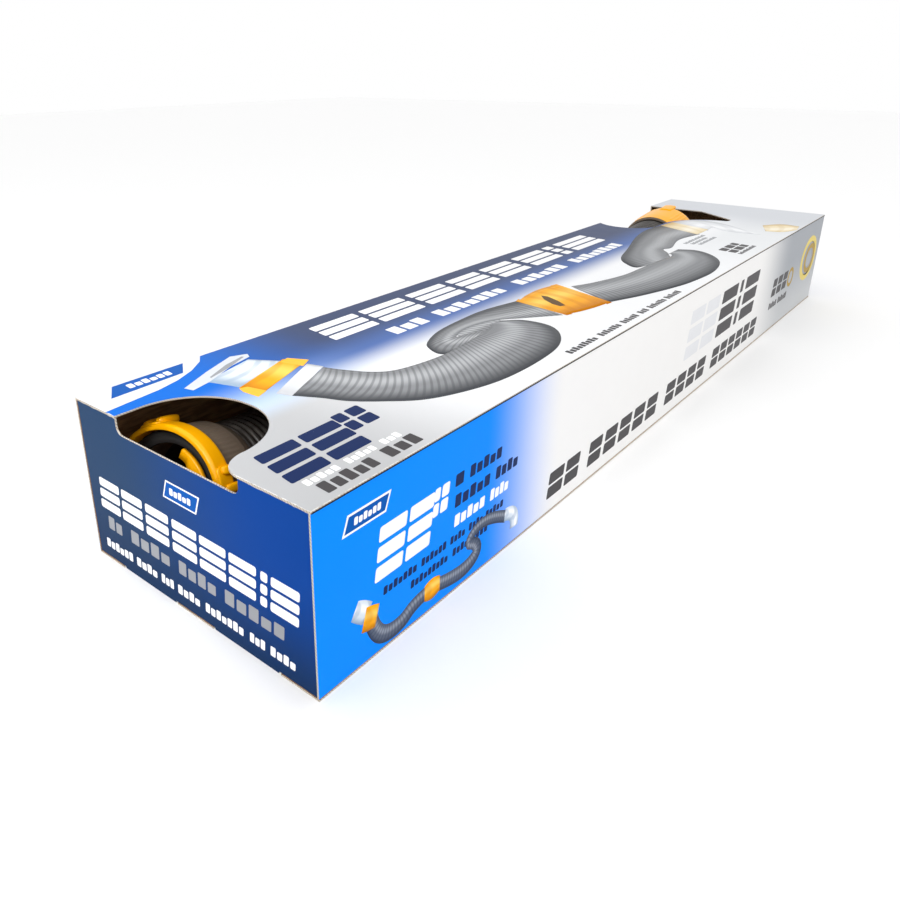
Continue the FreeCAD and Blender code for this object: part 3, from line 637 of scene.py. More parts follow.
def refine(profile, longest):
    """Split the long sides of a closed profile so that no side is longer than that."""
    following = np.roll(profile, -1, axis=0)
    counts = np.maximum(1, np.ceil(np.hypot(*(following - profile).T) / longest)).astype(int)
    which = np.repeat(np.arange(len(profile)), counts)
    share = (np.arange(counts.sum()) - np.repeat(np.cumsum(counts) - counts, counts)) / counts[which]
    return profile[which] * (1 - share[:, None]) + following[which] * share[:, None]


print("a square of side 10, refined to sides of 2.5:", len(refine(np.array(
    [(0.0, 0.0), (10.0, 0.0), (10.0, 10.0), (0.0, 10.0)]), 2.5)), "points")

# %% [markdown]
# ## Seats
# A seat is a fitting's own place: the middle of its front face, the way it faces, and how far
# it is turned about that line. The swivel joints of the frame give the place and the axis.

# %% Seats of the fittings
class Seat:
    """A point on the front face, the outward axis, and two directions across it."""

    def __init__(self, spot, axis, spin=0.0):
        self.spot = np.array(spot, float)
        self.axis = np.array(Vector(axis).normalized())
        turn = Vector((0, 0, 1)).rotation_difference(Vector(self.axis))
        angle = math.radians(spin)
        self.right = np.array(turn @ Vector((math.cos(angle), math.sin(angle), 0)))
        self.up = np.array(turn @ Vector((-math.sin(angle), math.cos(angle), 0)))

    def put(self, radius, angle, behind):
        """Points from radius (mm), angle (radians) and distance behind the front (mm)."""
        radius, angle, behind = np.broadcast_arrays(radius, angle, behind)
        return (self.spot + (radius * np.cos(angle))[..., None] * self.right * MM
                + (radius * np.sin(angle))[..., None] * self.up * MM
                - behind[..., None] * self.axis * MM)


def joint_seat(joint, facing, spin):
    """Seat at a swivel joint, facing the given way rather than its opposite."""
    axis = np.array(joints[joint]["axis"], float)
    if float(axis @ np.array(facing, float)) < 0:
        axis = -axis
    return Seat(joints[joint]["pos_m"], axis, spin)


left_lug = joint_seat("left_lug_swivel", (0, -1, 0), 36.0)
left_bayonet = joint_seat("left_bayonet_swivel", (0, 1, 0), 0.0)
right_lug = joint_seat("right_lug_swivel", (0, 1, 0), 12.0)
right_bayonet = joint_seat("right_bayonet_swivel", (0, -1, 0), 45.0)
elbow_seat = joint_seat("elbow_swivel", (0, -1, 0), 0.0)
for seat in (left_lug, left_bayonet, right_lug, right_bayonet, elbow_seat):
    print("seat at", np.round(seat.spot, 4).tolist(), "faces", np.round(seat.axis, 3).tolist())

# %% [markdown]
# ## Plastics, rubber and vinyl
# The rings are glossy orange moulded plastic, the cuffs a satin brown-grey, the gaskets dull
# rubber, the adapters clear. All carry a soft mottle and a fine moulded grain.

# %% Moulded finishes
def scuffed(plain, worn, size=0.009):
    """The plain colour with rubbed patches of the worn one, each about size metres across."""
    def colour(tree):
        patch = fade(tree, noise(tree, size, 5.0), 0.62, 0.78)
        return blend_colours(tree, maths(tree, "MULTIPLY", patch, 0.55), plain, worn)
    return colour


orange = make_finish("orange_moulding", scuffed(ink(255, 178, 2), ink(254, 160, 0), 0.03), 0.30,
                     grain=0.0008, mottle=0.04, bump=0.00002, Coat_Weight=0.12,
                     Coat_Roughness=0.15, Specular_IOR_Level=0.3)
taupe = make_finish("taupe_moulding", scuffed(ink(120, 106, 92), ink(100, 88, 76), 0.02), 0.42,
                    grain=0.0007, mottle=0.07, bump=0.00003)
rubber = make_finish("gasket_rubber", scuffed(ink(30, 29, 28), ink(58, 56, 54)), 0.75,
                     grain=0.0005, mottle=0.08, bump=0.00003)
charcoal = make_finish("charcoal_moulding", scuffed(ink(62, 64, 68), ink(92, 94, 98), 0.012), 0.45,
                       grain=0.0007, mottle=0.07, bump=0.00003)
clear = make_finish("clear_moulding", (0.93, 0.96, 0.97, 1), 0.07, grain=0.004, mottle=0.015,
                    bump=0.00002, wander=0.04, Transmission_Weight=1.0, IOR=1.47)
print("plastics:", ", ".join(one.name for one in (orange, taupe, rubber, charcoal, clear)))

# %% [markdown]
# ## Swivel rings
# A ring is a closed profile turned once round its axis. Its outside swells into rounded grips,
# which come from one formula: radius plus grip height times a plateau round each grip's angle.
# The fingers that reach back past the ring are soft blocks laid along it.

# %% Lug rings with fingers
FULL = np.linspace(0, 2 * np.pi, 288, endpoint=False)
QUARTERS = np.radians([0, 90, 180, 270])


def soft_blocks(seat, angles, radii, reach, half_angle, power, around=28):
    """Rounded blocks round a seat, one per angle: a superellipsoid in radius, angle and depth.

    Each coordinate is middle + half * sign(c)|c|^power, with c a sine or cosine product. A
    small power makes a square block, a power of 1 a round one."""
    v = np.linspace(-np.pi / 2, np.pi / 2, 14)[:, None]
    u = np.linspace(0, 2 * np.pi, around, endpoint=False)[None, :]

    def soft(value):
        return np.sign(value) * np.abs(value) ** power
    wide = soft(np.cos(v)) * soft(np.cos(u))
    high = soft(np.cos(v)) * soft(np.sin(u))
    deep = soft(np.sin(v)) * np.ones_like(u)
    middle_r, half_r = (radii[1] + radii[0]) / 2, (radii[1] - radii[0]) / 2
    middle_a, half_a = (reach[1] + reach[0]) / 2, (reach[1] - reach[0]) / 2
    return [seat.put(middle_r + half_r * high, angle + half_angle * wide, middle_a + half_a * deep)
            for angle in angles]


def swivel_ring(name, seat, body, node, profile, grips, blocks):
    """A turned profile whose outside swells at its grips, with soft blocks added.

    A grip is (angle, half angle, height, first depth, last depth), and the radius grows by
    height * plateau(angle - grip's angle) between its depths."""
    section = refine(rounded(profile, 0.9), 1.6)
    radius, behind = section[:, :1], section[:, 1:]
    outer = section[:, 0].max()
    swell = np.zeros((len(section), len(FULL)))
    for angle, half, height, first, last in grips:
        turn = (FULL[None, :] - angle + np.pi) % (2 * np.pi) - np.pi
        along = step(behind, first - 0.6, first + 0.6) * (1 - step(behind, last - 0.6, last + 0.6))
        swell = np.maximum(swell, height * plateau(turn, half, 0.03) * along
                           * (radius > outer - 1.2))
    ring = face_outwards(skin(name, [seat.put(radius + swell, FULL[None, :], behind)], orange))
    settle(ring, body, "orange_plastic", node)
    if blocks:
        lugs = face_outwards(skin(f"{name}_lugs", blocks, orange, wrap_rows=False))
        settle(lugs, body, "orange_plastic")
    print(f"{name}: {len(ring.data.polygons)} faces, {len(blocks)} blocks")


def key_plate(seat, turn):
    """Plate that hooks over the other half: a straight inner edge and a round outer one.

    Its outer edge is the circle of 38 mm. Its inner one is a chord, and a circle of 31 mm near
    the plate's ends, which leaves them blunt."""
    outer, middle, half_angle = 38.0, 31.0, math.radians(48)
    angle = np.linspace(-half_angle, half_angle, 40)
    chord = outer * math.cos(half_angle) / np.cos(angle)
    radius = np.concatenate([np.full(len(angle), outer), np.minimum(chord[::-1], middle)])
    loop = np.concatenate([angle, angle[::-1]]) + turn
    depth = np.array([1.6, 2.0, 5.0, 5.4])[:, None]
    narrower = np.array([0.9, 1.0, 1.0, 0.9])[:, None]
    return seat.put(middle + (radius[None, :] - middle) * narrower, loop[None, :], depth)


def lug_ring(name, seat, body, node):
    """Deep ring with a lip at its back, four pairs of fingers and two ramps in its mouth."""
    profile = [(46.5, 0), (49.6, 0), (51.2, 2.0), (51.2, 13.8), (50.4, 16), (44, 16), (44, 13),
               (46.5, 13)]
    pairs = (QUARTERS[:, None] + np.radians([-7.0, 7.0])).ravel()
    fingers = soft_blocks(seat, pairs, (48.6, 55.45), (5.0, 25.9), math.radians(3.9), 0.6)
    webs = soft_blocks(seat, QUARTERS, (48.0, 52.6), (1.4, 15.4), math.radians(11.0), 0.4)
    ramps = soft_blocks(seat, np.radians([-34, 146]), (32.0, 48.5), (1.2, 6.2), math.radians(7),
                        0.4, 44)
    keys = [key_plate(seat, turn) for turn in np.radians([0, 180])]
    swivel_ring(name, seat, body, node, profile, [], fingers + webs + ramps + keys)


lug_ring("left_lug_ring_moulding", left_lug, "left_lug_swivel_ring", "left_lug_ring")
lug_ring("right_lug_ring_moulding", right_lug, "right_lug_swivel_ring", "right_lug_ring")

# %% [markdown]
# A bayonet ring is the other half of the joint. Its four arms reach in front of it, hook behind
# the lug ring's ramps and lock with a quarter turn, and its long skirt is fluted for the hand.


# %% Bayonet rings with hooked arms
def bayonet_ring(name, seat, body, node):
    """Slim ring whose four arms reach forward and end in a hook."""
    profile = [(41, 0), (43.5, 0), (45.6, 5), (45.8, 14), (45.8, 28), (45.6, 46), (44.75, 60.5),
               (44.75, 22.2), (39.8, 22.2), (39.8, 19), (41, 19)]
    flutes = QUARTERS[:, None] + np.radians(45 + np.arange(-18, 24, 6))
    grips = [(angle, 0.028, 0.7, 6.0, 48.0) for angle in flutes.ravel()]
    arms = soft_blocks(seat, QUARTERS, (42.4, 47.4), (-5.9, 17.9), math.radians(10.8), 0.3)
    hooks = soft_blocks(seat, QUARTERS, (41.2, 46.0), (-5.9, -1.6), math.radians(9.0), 0.4)
    swivel_ring(name, seat, body, node, profile, grips, arms + hooks)


bayonet_ring("left_bayonet_ring_moulding", left_bayonet, "left_bayonet_swivel_ring",
             "left_bayonet_ring")
bayonet_ring("right_bayonet_ring_moulding", right_bayonet, "right_bayonet_swivel_ring",
             "right_bayonet_ring")

# %% [markdown]
# ## Cuffs
# Behind each ring a cuff grips the hose. It is a turned profile with a groove at each end of its
# collar and shallow flutes between, which give fingers a hold. Flutes could be cut with 72
# booleans. A cosine of 72 times the angle does the same in one line and leaves a clean grid.


# %% Cuffs
def cuff(name, seat, node, profile, collar):
    """Turned closed profile in mm; the collar, (first depth, last depth, radius), has 72 flutes.

    Flute depth is 0.45 * (1 + cos(72 * angle)) / 2, faded out at both ends of the collar."""
    section = refine(rounded(profile, 0.7), 1.8)
    radius, behind = section[:, :1], section[:, 1:]
    first, last, outer = collar
    angle = np.linspace(0, 2 * np.pi, 432, endpoint=False)[None, :]
    run = step(behind, first + 5.0, first + 6.2) * (1 - step(behind, last - 5.2, last - 4.0))
    cut = 0.45 * (1 + np.cos(72 * angle)) / 2 * run
    for groove in (first + 2.6, last - 2.2):
        cut = cut + 0.35 * np.exp(-((behind - groove) / 0.45) ** 2)
    grid = seat.put(radius - cut * (radius > outer - 0.6), angle, behind)
    piece = settle(face_outwards(skin(name, [grid], taupe)), "carton", "cuff_plastic", node)
    print(f"{name}: {len(piece.data.polygons)} faces")


LUG_CUFF = [(36.5, 10.5), (46.1, 10.5), (46.1, 12.6), (43.6, 12.6), (43.6, 16.4), (47, 16.4),
            (47, 45.4), (44, 55.4), (41.3, 55.4), (41.3, 35.4), (36.5, 35.4)]
BAYONET_CUFF = [(36.5, -12), (38.5, -12), (38.5, 6), (40.6, 6), (40.6, 18.6), (39.4, 18.6),
                (39.4, 22.4), (44.4, 22.4), (44.4, 51.4), (44, 61.4), (41.3, 61.4), (41.3, 41.4),
                (36.5, 41.4)]
for name, seat, profile, collar in (
        ("left_lug_cuff", left_lug, LUG_CUFF, (16.4, 45.4, 47)),
        ("right_lug_cuff", right_lug, LUG_CUFF, (16.4, 45.4, 47)),
        ("left_bayonet_cuff", left_bayonet, BAYONET_CUFF, (22.4, 51.4, 44.4)),
        ("right_bayonet_cuff", right_bayonet, BAYONET_CUFF, (22.4, 51.4, 44.4))):
    cuff(f"{name}_moulding", seat, name, profile, collar)

# %% [markdown]
# ## Gaskets
# A gasket is a flat rubber ring that seals by raised beads on its front. The beads are one
# cosine across the ring's width, so the ring is again a profile turned round its seat.


# %% Gaskets
def gasket(name, seat, node, inner, outer, front, back):
    """Flat rubber ring; its front lies 0.45 * (1 + cos(4 pi share)) / 2 mm back between beads."""
    middle = np.linspace(inner + 0.3, outer - 0.3, 25)
    share = (middle - inner) / (outer - inner)
    bead = 0.45 * (1 + np.cos(4 * np.pi * share)) / 2 * (outer - inner > 3)
    face = np.column_stack([middle, front + bead])
    section = np.vstack([face, [(outer, front + 0.6), (outer, back), (inner, back),
                                (inner, front + 0.6)]])
    grid = seat.put(section[:, :1], FULL[None, ::2], section[:, 1:])
    settle(face_outwards(skin(name, [grid], rubber)), "carton", "gasket_rubber", node)
    print(f"{name}: {2 * outer} mm across")


adapter_low, adapter_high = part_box("clear_adapter")
adapter_seat = Seat(((adapter_low[0] + adapter_high[0]) / 2, adapter_low[1],
                     (adapter_low[2] + adapter_high[2]) / 2), (0, -1, 0))
for name, seat, sizes in (
        ("left_lug_gasket", left_lug, (36.5, 45.3, 7.1, 10.5)),
        ("right_lug_gasket", right_lug, (36.5, 45.3, 7.1, 10.5)),
        ("left_bayonet_gasket", left_bayonet, (38.5, 40.5, 2.6, 6.0)),
        ("right_bayonet_gasket", right_bayonet, (38.5, 40.5, 2.6, 6.0)),
        ("elbow_gasket", elbow_seat, (38.0, 41.0, -3.4, 0.0)),
        ("clear_adapter_gasket", adapter_seat, (42.0, 44.2, 2.8, 8.0))):
    gasket(f"{name}_rubber", seat, name, *sizes)

# %% [markdown]
# ## The ribbed hoses
# A hose is a thin vinyl skin over a coiled wire, so its ribs run round it as one long screw.
# The centre line is a smooth NURBS curve through the hose's route. Each point of the skin is
# the centre plus the radius times a direction across the curve, and the radius rises and
# falls with the distance along the hose plus the angle, which makes the screw.

# %% Centre lines
def smooth_line(points, spacing):
    """Evenly spaced points of the NURBS curve that has these control points, and its length."""
    data = bpy.data.curves.new("route", "CURVE")
    data.dimensions = "3D"
    data.resolution_u = 24
    spline = data.splines.new("NURBS")
    spline.points.add(len(points) - 1)
    spline.points.foreach_set("co", np.column_stack([points, np.ones(len(points))]).ravel())
    spline.order_u = 3
    spline.use_endpoint_u = True
    holder = bpy.data.objects.new("route", data)
    drawn = bpy.data.meshes.new_from_object(holder)
    spots = np.empty(len(drawn.vertices) * 3)
    drawn.vertices.foreach_get("co", spots)
    bpy.data.objects.remove(holder)
    bpy.data.meshes.remove(drawn)
    spots = spots.reshape(-1, 3)
    travelled = np.append(0, np.cumsum(np.linalg.norm(np.diff(spots, axis=0), axis=1)))
    marks = np.linspace(0, travelled[-1], max(2, int(round(travelled[-1] / spacing)) + 1))
    even = np.column_stack([np.interp(marks, travelled, spots[:, k]) for k in range(3)])
    return even, marks


def across_line(line):
    """Two directions across the line at each of its points, one of them level."""
    along = np.gradient(line, axis=0)
    along /= np.linalg.norm(along, axis=1)[:, None]
    level = np.cross(along, (0, 0, 1))
    level /= np.linalg.norm(level, axis=1)[:, None]
    return level, np.cross(level, along)


# %% [markdown]
# The skin is worked out whole: rows of points along the line, columns round it. A rib is sharp
# at its foot and round on top, which the power of 0.7 on the cosine gives.

# %% Hose material and skins
def vinyl_colour(tree):
    """Charcoal with paler dust in soft random patches."""
    streak = noise(tree, 0.006, 5.0)
    return blend_colours(tree, fade(tree, streak, 0.42, 0.75), ink(52, 48, 45), ink(80, 75, 70))


vinyl = make_finish("hose_vinyl", vinyl_colour, 0.38, grain=0.0009, mottle=0.10, bump=0.00004,
                    Coat_Weight=0.15, Coat_Roughness=0.3)
RIB_PITCH = 6.4 * MM


def ribbed_hose(name, node, route):
    """Skin of radius 40.9 - 2.3 * (1 - |cos(pi * (s / pitch + angle / 2 pi))|^0.7) mm outside.

    s is the distance along the line. The inside is plain, 38 mm in radius, with fewer rows."""
    line, marks = smooth_line(np.array(route) * MM, RIB_PITCH / 6)
    level, up = across_line(line)
    angle = np.linspace(0, 2 * np.pi, 84, endpoint=False)
    phase = np.pi * (marks[:, None] / RIB_PITCH + angle[None, :] / (2 * np.pi))
    radius = (40.9 - 2.3 * (1 - np.abs(np.cos(phase)) ** 0.7)) * MM
    spokes = np.cos(angle)[:, None] * level[:, None] + np.sin(angle)[:, None] * up[:, None]
    outside = line[:, None] + radius[..., None] * spokes
    chosen = np.unique(np.append(np.arange(len(line) - 1, 0, -12), 0))[::-1]
    inside = line[chosen][:, None] + 38.0 * MM * spokes[chosen]
    piece = face_outwards(skin(name, [np.concatenate([outside, inside])], vinyl))
    settle(piece, "carton", "hose_vinyl", node)
    print(f"{name}: {marks[-1]:.3f} m packed, {2 * len(piece.data.polygons)} triangles")


LEFT_ROUTE = [(-63.0, -488.3, 53.3), (-70.5, -452.9, 43.6), (-65.5, -198.4, 43.6),
              (-66.4, 56.0, 43.6), (-66.4, 156.0, 55.1), (-66.4, 296.0, 82.2), (-66.4, 366.5, 89.6)]
RIGHT_ROUTE = [(59.8, -405.3, 57.7), (59.8, -213.9, 57.7), (57.8, -22.5, 55.7),
               (59.8, 168.9, 57.7), (59.8, 360.3, 57.7)]
ribbed_hose("left_hose_skin", "left_hose", LEFT_ROUTE)
ribbed_hose("right_hose_skin", "right_hose", RIGHT_ROUTE)

# %% [markdown]
# ## The loose adapters
# Two clear pieces and a stepped one lie at the far end. The clear ones are thin shells with
# ribs. The stepped one fits four sizes of drain, so it has a coarse thread on every step: the
# same screw formula as the hose, with a deeper and rarer rib.

# %% Straight clear adapter
def turned_piece(name, seat, node, profile, finish, slot, swell=None):
    """A closed profile turned round its seat, with an optional formula added to its radius."""
    section = refine(rounded(profile, 0.6), 1.5)
    radius, behind = section[:, :1], section[:, 1:]
    extra = swell(radius, behind, FULL[None, :]) if swell else 0.0
    piece = face_outwards(skin(name, [seat.put(radius + extra, FULL[None, :], behind)], finish))
    settle(piece, "carton", slot, node)
    print(f"{name}: {len(piece.data.polygons)} faces")


def flange_notches(radius, behind, angle):
    """Four finger notches in the flange's rim: 2.4 * ((1 + cos(4 angle)) / 2)^6 mm deep."""
    depth = 2.4 * ((1 + np.cos(4 * angle)) / 2) ** 6
    return -depth * (radius > 46.5) * step(behind, 7.5, 8.5)


turned_piece("clear_adapter_shell", adapter_seat, "clear_adapter", [
    (39, 0), (42, 0), (42, 8), (48, 8), (48, 16), (42, 16), (42, 42), (44.2, 42), (44.2, 45),
    (42, 45), (42, 84), (39, 84)], clear, "clear_plastic", swell=flange_notches)


# %% [markdown]
# The elbow is a thin tube along a straight inlet, a 45 degree bend and a short outlet. One set
# of circles runs out along it, a smaller set runs back inside, and the grid closes on itself.


# %% Clear elbow and its ring
def bent_tube(seat, radii, inlet, bend_radius, bend, outlet):
    """Circles whose middles follow an inlet along +Y, an arc towards -X, and an outlet.

    At turn a the arc is at (-R (1 - cos a), inlet + R sin a), and its circles lean by a."""
    turn = np.radians(np.linspace(0, bend, 14))
    before = np.array([(0.0, 0.0), (0.0, 3.0), (0.0, inlet * 0.6)])
    curve = np.column_stack([-bend_radius * (1 - np.cos(turn)), inlet + bend_radius * np.sin(turn)])
    way = np.array([-math.sin(turn[-1]), math.cos(turn[-1])])
    after = curve[-1] + way * np.array([[outlet * 0.5], [outlet]])
    middle = np.vstack([before, curve, after])
    lean = np.concatenate([np.zeros(len(before)), turn, np.full(len(after), turn[-1])])
    angle = np.linspace(0, 2 * np.pi, 96, endpoint=False)

    def circles(radius, order):
        reach = radius * np.cos(angle)[None, :]
        x = middle[order, :1] + reach * np.cos(lean[order])[:, None]
        y = middle[order, 1:] + reach * np.sin(lean[order])[:, None]
        z = np.broadcast_to(radius * np.sin(angle), x.shape)
        return seat.spot + MM * np.stack([x, y, z], axis=-1)
    order = np.arange(len(middle))
    return np.concatenate([circles(radii[1], order), circles(radii[0], order[::-1])])


elbow_shell = skin("elbow_shell", [bent_tube(elbow_seat, (38.0, 41.0), 24, 50, 45, 20)], clear)
settle(face_outwards(elbow_shell), "carton", "clear_plastic", "elbow_body")
turned_piece("elbow_flange", elbow_seat, "elbow_body",
             [(41.02, 0.1), (44, 0.1), (44, 6), (41.02, 6)], clear, "clear_plastic")
swivel_ring("elbow_ring_moulding", elbow_seat, "elbow_swivel_ring", "elbow_lug_ring",
            [(44.4, -6), (47.4, -6), (47.4, 9.4), (41.4, 9.4), (41.4, 6.4), (44.4, 6.4)], [], [])


# %% [markdown]
# The stepped adapter stands on end. Its steps are the profile, and one swell formula cuts the
# screw into all of them at once.

# %% Stepped threaded adapter
stepped_low, stepped_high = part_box("threaded_adapter")
stepped_seat = Seat(((stepped_low[0] + stepped_high[0]) / 2, (stepped_low[1] + stepped_high[1]) / 2,
                     stepped_high[2]), (0, 0, 1))


def coarse_thread(radius, behind, angle):
    """A screw of 4.5 mm pitch, cut 1.1 * (1 - ((1 + cos phase) / 2)^2) mm into every step."""
    ridge = ((1 + np.cos(2 * np.pi * behind / 4.5 + angle)) / 2) ** 2
    return -1.1 * (1 - ridge) * (radius > 22) * step(behind, 0.8, 2.0) * (1 - step(behind, 36.5, 38.0))


stepped_profile = [(19, 0), (26.5, 0), (26.5, 9), (34, 9), (34, 18), (41.5, 18), (41.5, 27), (49, 27),
                   (49, 39), (19, 39)]
turned_piece("stepped_adapter_moulding", stepped_seat, "threaded_adapter", stepped_profile, charcoal,
             "grey_plastic", swell=coarse_thread)

# %% [markdown]
# ## Print on the board
# Lettering and pictures are printed in flat inks. They could be painted into the board's finish,
# but a shape is easier to place as an outline. So each is a film of ink a few hundredths of a
# millimetre thick, lying on the board, sharp from close by, and it moves with its panel.
# Instead of words the carton has plain bars.

# %% Outlines of bars
FILM = 0.06 * MM
SLIT = 0.085  # height of a slit, as a share of its block
GAP_STEP = 1.28  # pitch of a word's bars, in bar widths
INKED_SHARE = 0.78  # of that pitch
DROPS = (0.0, 0.18, 0.0, 0.26, 0.08)  # shares of the height that a word's bars fall short by


def bar(left, low, right, high, corner, slant=0.0):
    """Rounded bar between two corners, in mm; slant leans its top that far per unit height."""
    r = min(corner, (right - left) / 2.01, (high - low) / 2.01)
    loop = outline(arc((right - r, low + r), r, -90, 0, 4), arc((right - r, high - r), r, 0, 90, 4),
                   arc((left + r, high - r), r, 90, 180, 4), arc((left + r, low + r), r, 180, 270, 4))
    loop[:, 0] += slant * (loop[:, 1] - low)
    return loop


def blocks(spans, low, high, slits=2, slant=0.16):
    """Bold blocks in a row, each cut by thin level slits."""
    gap = (high - low) * SLIT
    tall = (high - low - slits * gap) / (slits + 1)
    loops = []
    for left, right in spans:
        for number in range(slits + 1):
            rise = number * (tall + gap)
            lean = slant * rise
            loops.append(bar(left + lean, low + rise, right + lean, low + rise + tall, 1.6, slant))
    return loops


def words(spans, low, high, letter=0.62):
    """Words as runs of small upright bars, each about letter times as wide as it is tall."""
    loops = []
    for left, right in spans:
        count = max(1, int(round((right - left) / ((high - low) * letter * GAP_STEP))))
        pitch = (right - left) / count
        for number in range(count):
            drop = DROPS[number % len(DROPS)] * (high - low)
            start = left + number * pitch
            loops.append(bar(start, low, start + pitch * INKED_SHARE, high - drop, 0.9, 0.1))
    return loops


print("one span of words holds", len(words([(0, 50)], 0, 10)), "bars")

# %% [markdown]
# Print is laid by the same functions as the panels, on the sunk board. Along the top, lines of
# print read from the near end, so they have a lay function of their own.


# %% Films of ink
def on_top_reading(flat, level):
    """Lines of print on the top: flat x runs along the carton, flat y towards its left edge."""
    return columns(-flat[:, 1], flat[:, 0] - half_length, height - SUNK + level)


def on_right_print(flat, level):
    """Print on the right side's sunk board."""
    return on_right(flat, level - SUNK)


def on_near_print(flat, level):
    """Print on the near end's sunk board."""
    return on_near_end(flat, level - SUNK)


def on_right_fold_shadow(flat, level):
    """Painted shadow along the fold, whose film ends level with the side's own face."""
    return on_right(flat, level - FILM)


def inked(name, loops, lay, finish, layer=1, body="carton"):
    """A film of ink from outlines in mm, on the given layer over the board."""
    points, faces, kinds = prism([np.asarray(loop) * MM for loop in loops], lay, 0.0, layer * FILM)
    piece = make_piece(name, points, faces, [finish], smooth=False)
    settle(piece, body, "printed_board")


def lay_films(lay, rows, body="carton"):
    """Inked films from rows of name, outlines, ink and layer."""
    for name, loops, finish, layer in rows:
        inked(name, loops, lay, finish, layer, body)
    print(len(rows), "films of ink on", body)


# %% [markdown]
# ## Flat inks
# A printed ink is even, but tiny flecks of board show through where it is dry.


# %% Flat inks
def flat_ink(name, colour, worn):
    """Printed ink with tiny pale flecks where the board shows through."""
    def recipe(tree):
        fleck = fade(tree, noise(tree, 0.0016, 3.0), 0.74, 0.80)
        return blend_colours(tree, maths(tree, "MULTIPLY", fleck, worn), colour, WHITE_BOARD)
    return make_finish(name, recipe, 0.32, grain=0.001, mottle=0.03, bump=0.00001, **VARNISH)


white_ink = flat_ink("print_white", ink(244, 244, 245), 0.0)
navy_ink = flat_ink("print_navy", ink(24, 42, 86), 0.3)
badge_ink = flat_ink("print_badge_blue", ink(4, 84, 168), 0.2)
slate_ink = flat_ink("print_slate", ink(74, 72, 74), 0.3)
silver_ink = flat_ink("print_silver", ink(206, 210, 218), 0.0)
haze_ink = flat_ink("print_haze", ink(222, 223, 226), 0.0)
gold_ink = flat_ink("print_gold", ink(170, 138, 44), 0.1)
lemon_ink = flat_ink("print_lemon", ink(222, 200, 104), 0.1)
# Near-black ink for the painted shadow along the right fold.
fold_shadow_ink = flat_ink("painted_fold_shadow", ink(44, 42, 50), 0.2)
umber_ink = flat_ink("print_umber", ink(96, 72, 40), 0.1)
amber_ink = flat_ink("print_amber", ink(250, 184, 60), 0.1)
ash_ink = flat_ink("print_ash", ink(150, 152, 156), 0.1)
print("twelve flat inks")

# %% [markdown]
# ## Blocks and lines on the top
# All are in mm: x from the near end, y from the middle towards the left edge. Every film has a
# layer, so that one ink printed over another never lies in the same plane.

# %% Printed blocks on the top
corner_sweep = outline((0, 117.2), (0, 78), (22, 80.5), (46, 83), (66, 88), (84, 96), (100, 107),
                       (108, 117.2))
title_spans = [(205, 262), (270, 330), (340, 398), (408, 462), (472, 528), (540, 602), (612, 628),
               (640, 716)]
second_spans = [(250, 300), (316, 430), (456, 560), (581, 705)]
caption_spans = [(300, 349), (356, 395), (401, 432), (438, 455), (460, 497), (501, 535)]
small_captions = words([(757, 826)], -32, -26.5) + words([(760, 812)], -40, -34.5) + words(
    [(764, 822)], -48, -42.5)
mark_spans = [(744, 760), (764, 782), (785, 797)]
lay_films(on_top_reading, [
    ("top_corner_sweep", [corner_sweep], haze_ink, 1),
    ("top_badge", [outline((15, 95), (77, 97), (89, 114), (27, 114))], badge_ink, 3),
    ("top_badge_line", words([(34, 72)], 101, 109), white_ink, 4),
    ("top_title_blocks", blocks(title_spans, 59, 99), white_ink, 2),
    ("top_second_line", words(second_spans, 28.5, 44.5, 0.8), white_ink, 2),
    ("top_amount_blocks", blocks([(14, 46), (50, 82)], -89, -48), navy_ink, 1),
    ("top_amount_unit", blocks([(86, 96), (99, 112)], -70, -44, 1), navy_ink, 1),
    ("top_amount_note", words([(18, 46), (52, 78), (84, 102)], -97.5, -91), white_ink, 1),
    ("top_amount_line", words([(20, 66), (74, 107)], -111.5, -99.5), slate_ink, 1),
    ("top_caption", words(caption_spans, -110, -103), slate_ink, 1),
    ("top_small_captions", small_captions, ash_ink, 1),
    ("top_side_mark", blocks(mark_spans, -96, -74, 1), slate_ink, 1),
    ("top_side_mark_line", words([(742, 800)], -104, -98.5), slate_ink, 1)])

# %% [markdown]
# ## Inks of the pictures
# A printed picture of a tube carries a map of its own: distance along it, and -1 to 1 across it.
# Its ink shades from edge to edge as a round tube would, and has a dark line for every rib,
# bowed as ribs look on a tube. So a flat film looks round without any picture file.


# %% Inks of the pictures
def tube_ink(name, dark, middle, light, pitch, depth=0.45, bow=0.004):
    """Ink of a tube's picture: lightest 0.3 across, dark at both edges, a line per rib.

    A line is where sin(2 pi (run + bow * across^2) / pitch) is high, depth deep."""
    def recipe(tree):
        run, across, _ = map_axes(tree, "print")
        off = gap_to(tree, across, 0.30)
        colour = blend_colours(tree, fade(tree, off, 0.55, 0.02), middle, light)
        colour = blend_colours(tree, fade(tree, off, 0.62, 1.25), colour, dark)
        square = maths(tree, "MULTIPLY", across, across)
        bowed = maths(tree, "ADD", run, maths(tree, "MULTIPLY", square, bow))
        wave = maths(tree, "SINE", maths(tree, "MULTIPLY", bowed, 2 * math.pi / pitch))
        line = maths(tree, "MULTIPLY", fade(tree, wave, -0.2, 0.9), depth)
        return blend_colours(tree, line, colour, dark)
    return make_finish(name, recipe, 0.32, grain=0.001, mottle=0.02, bump=0.0, **VARNISH)


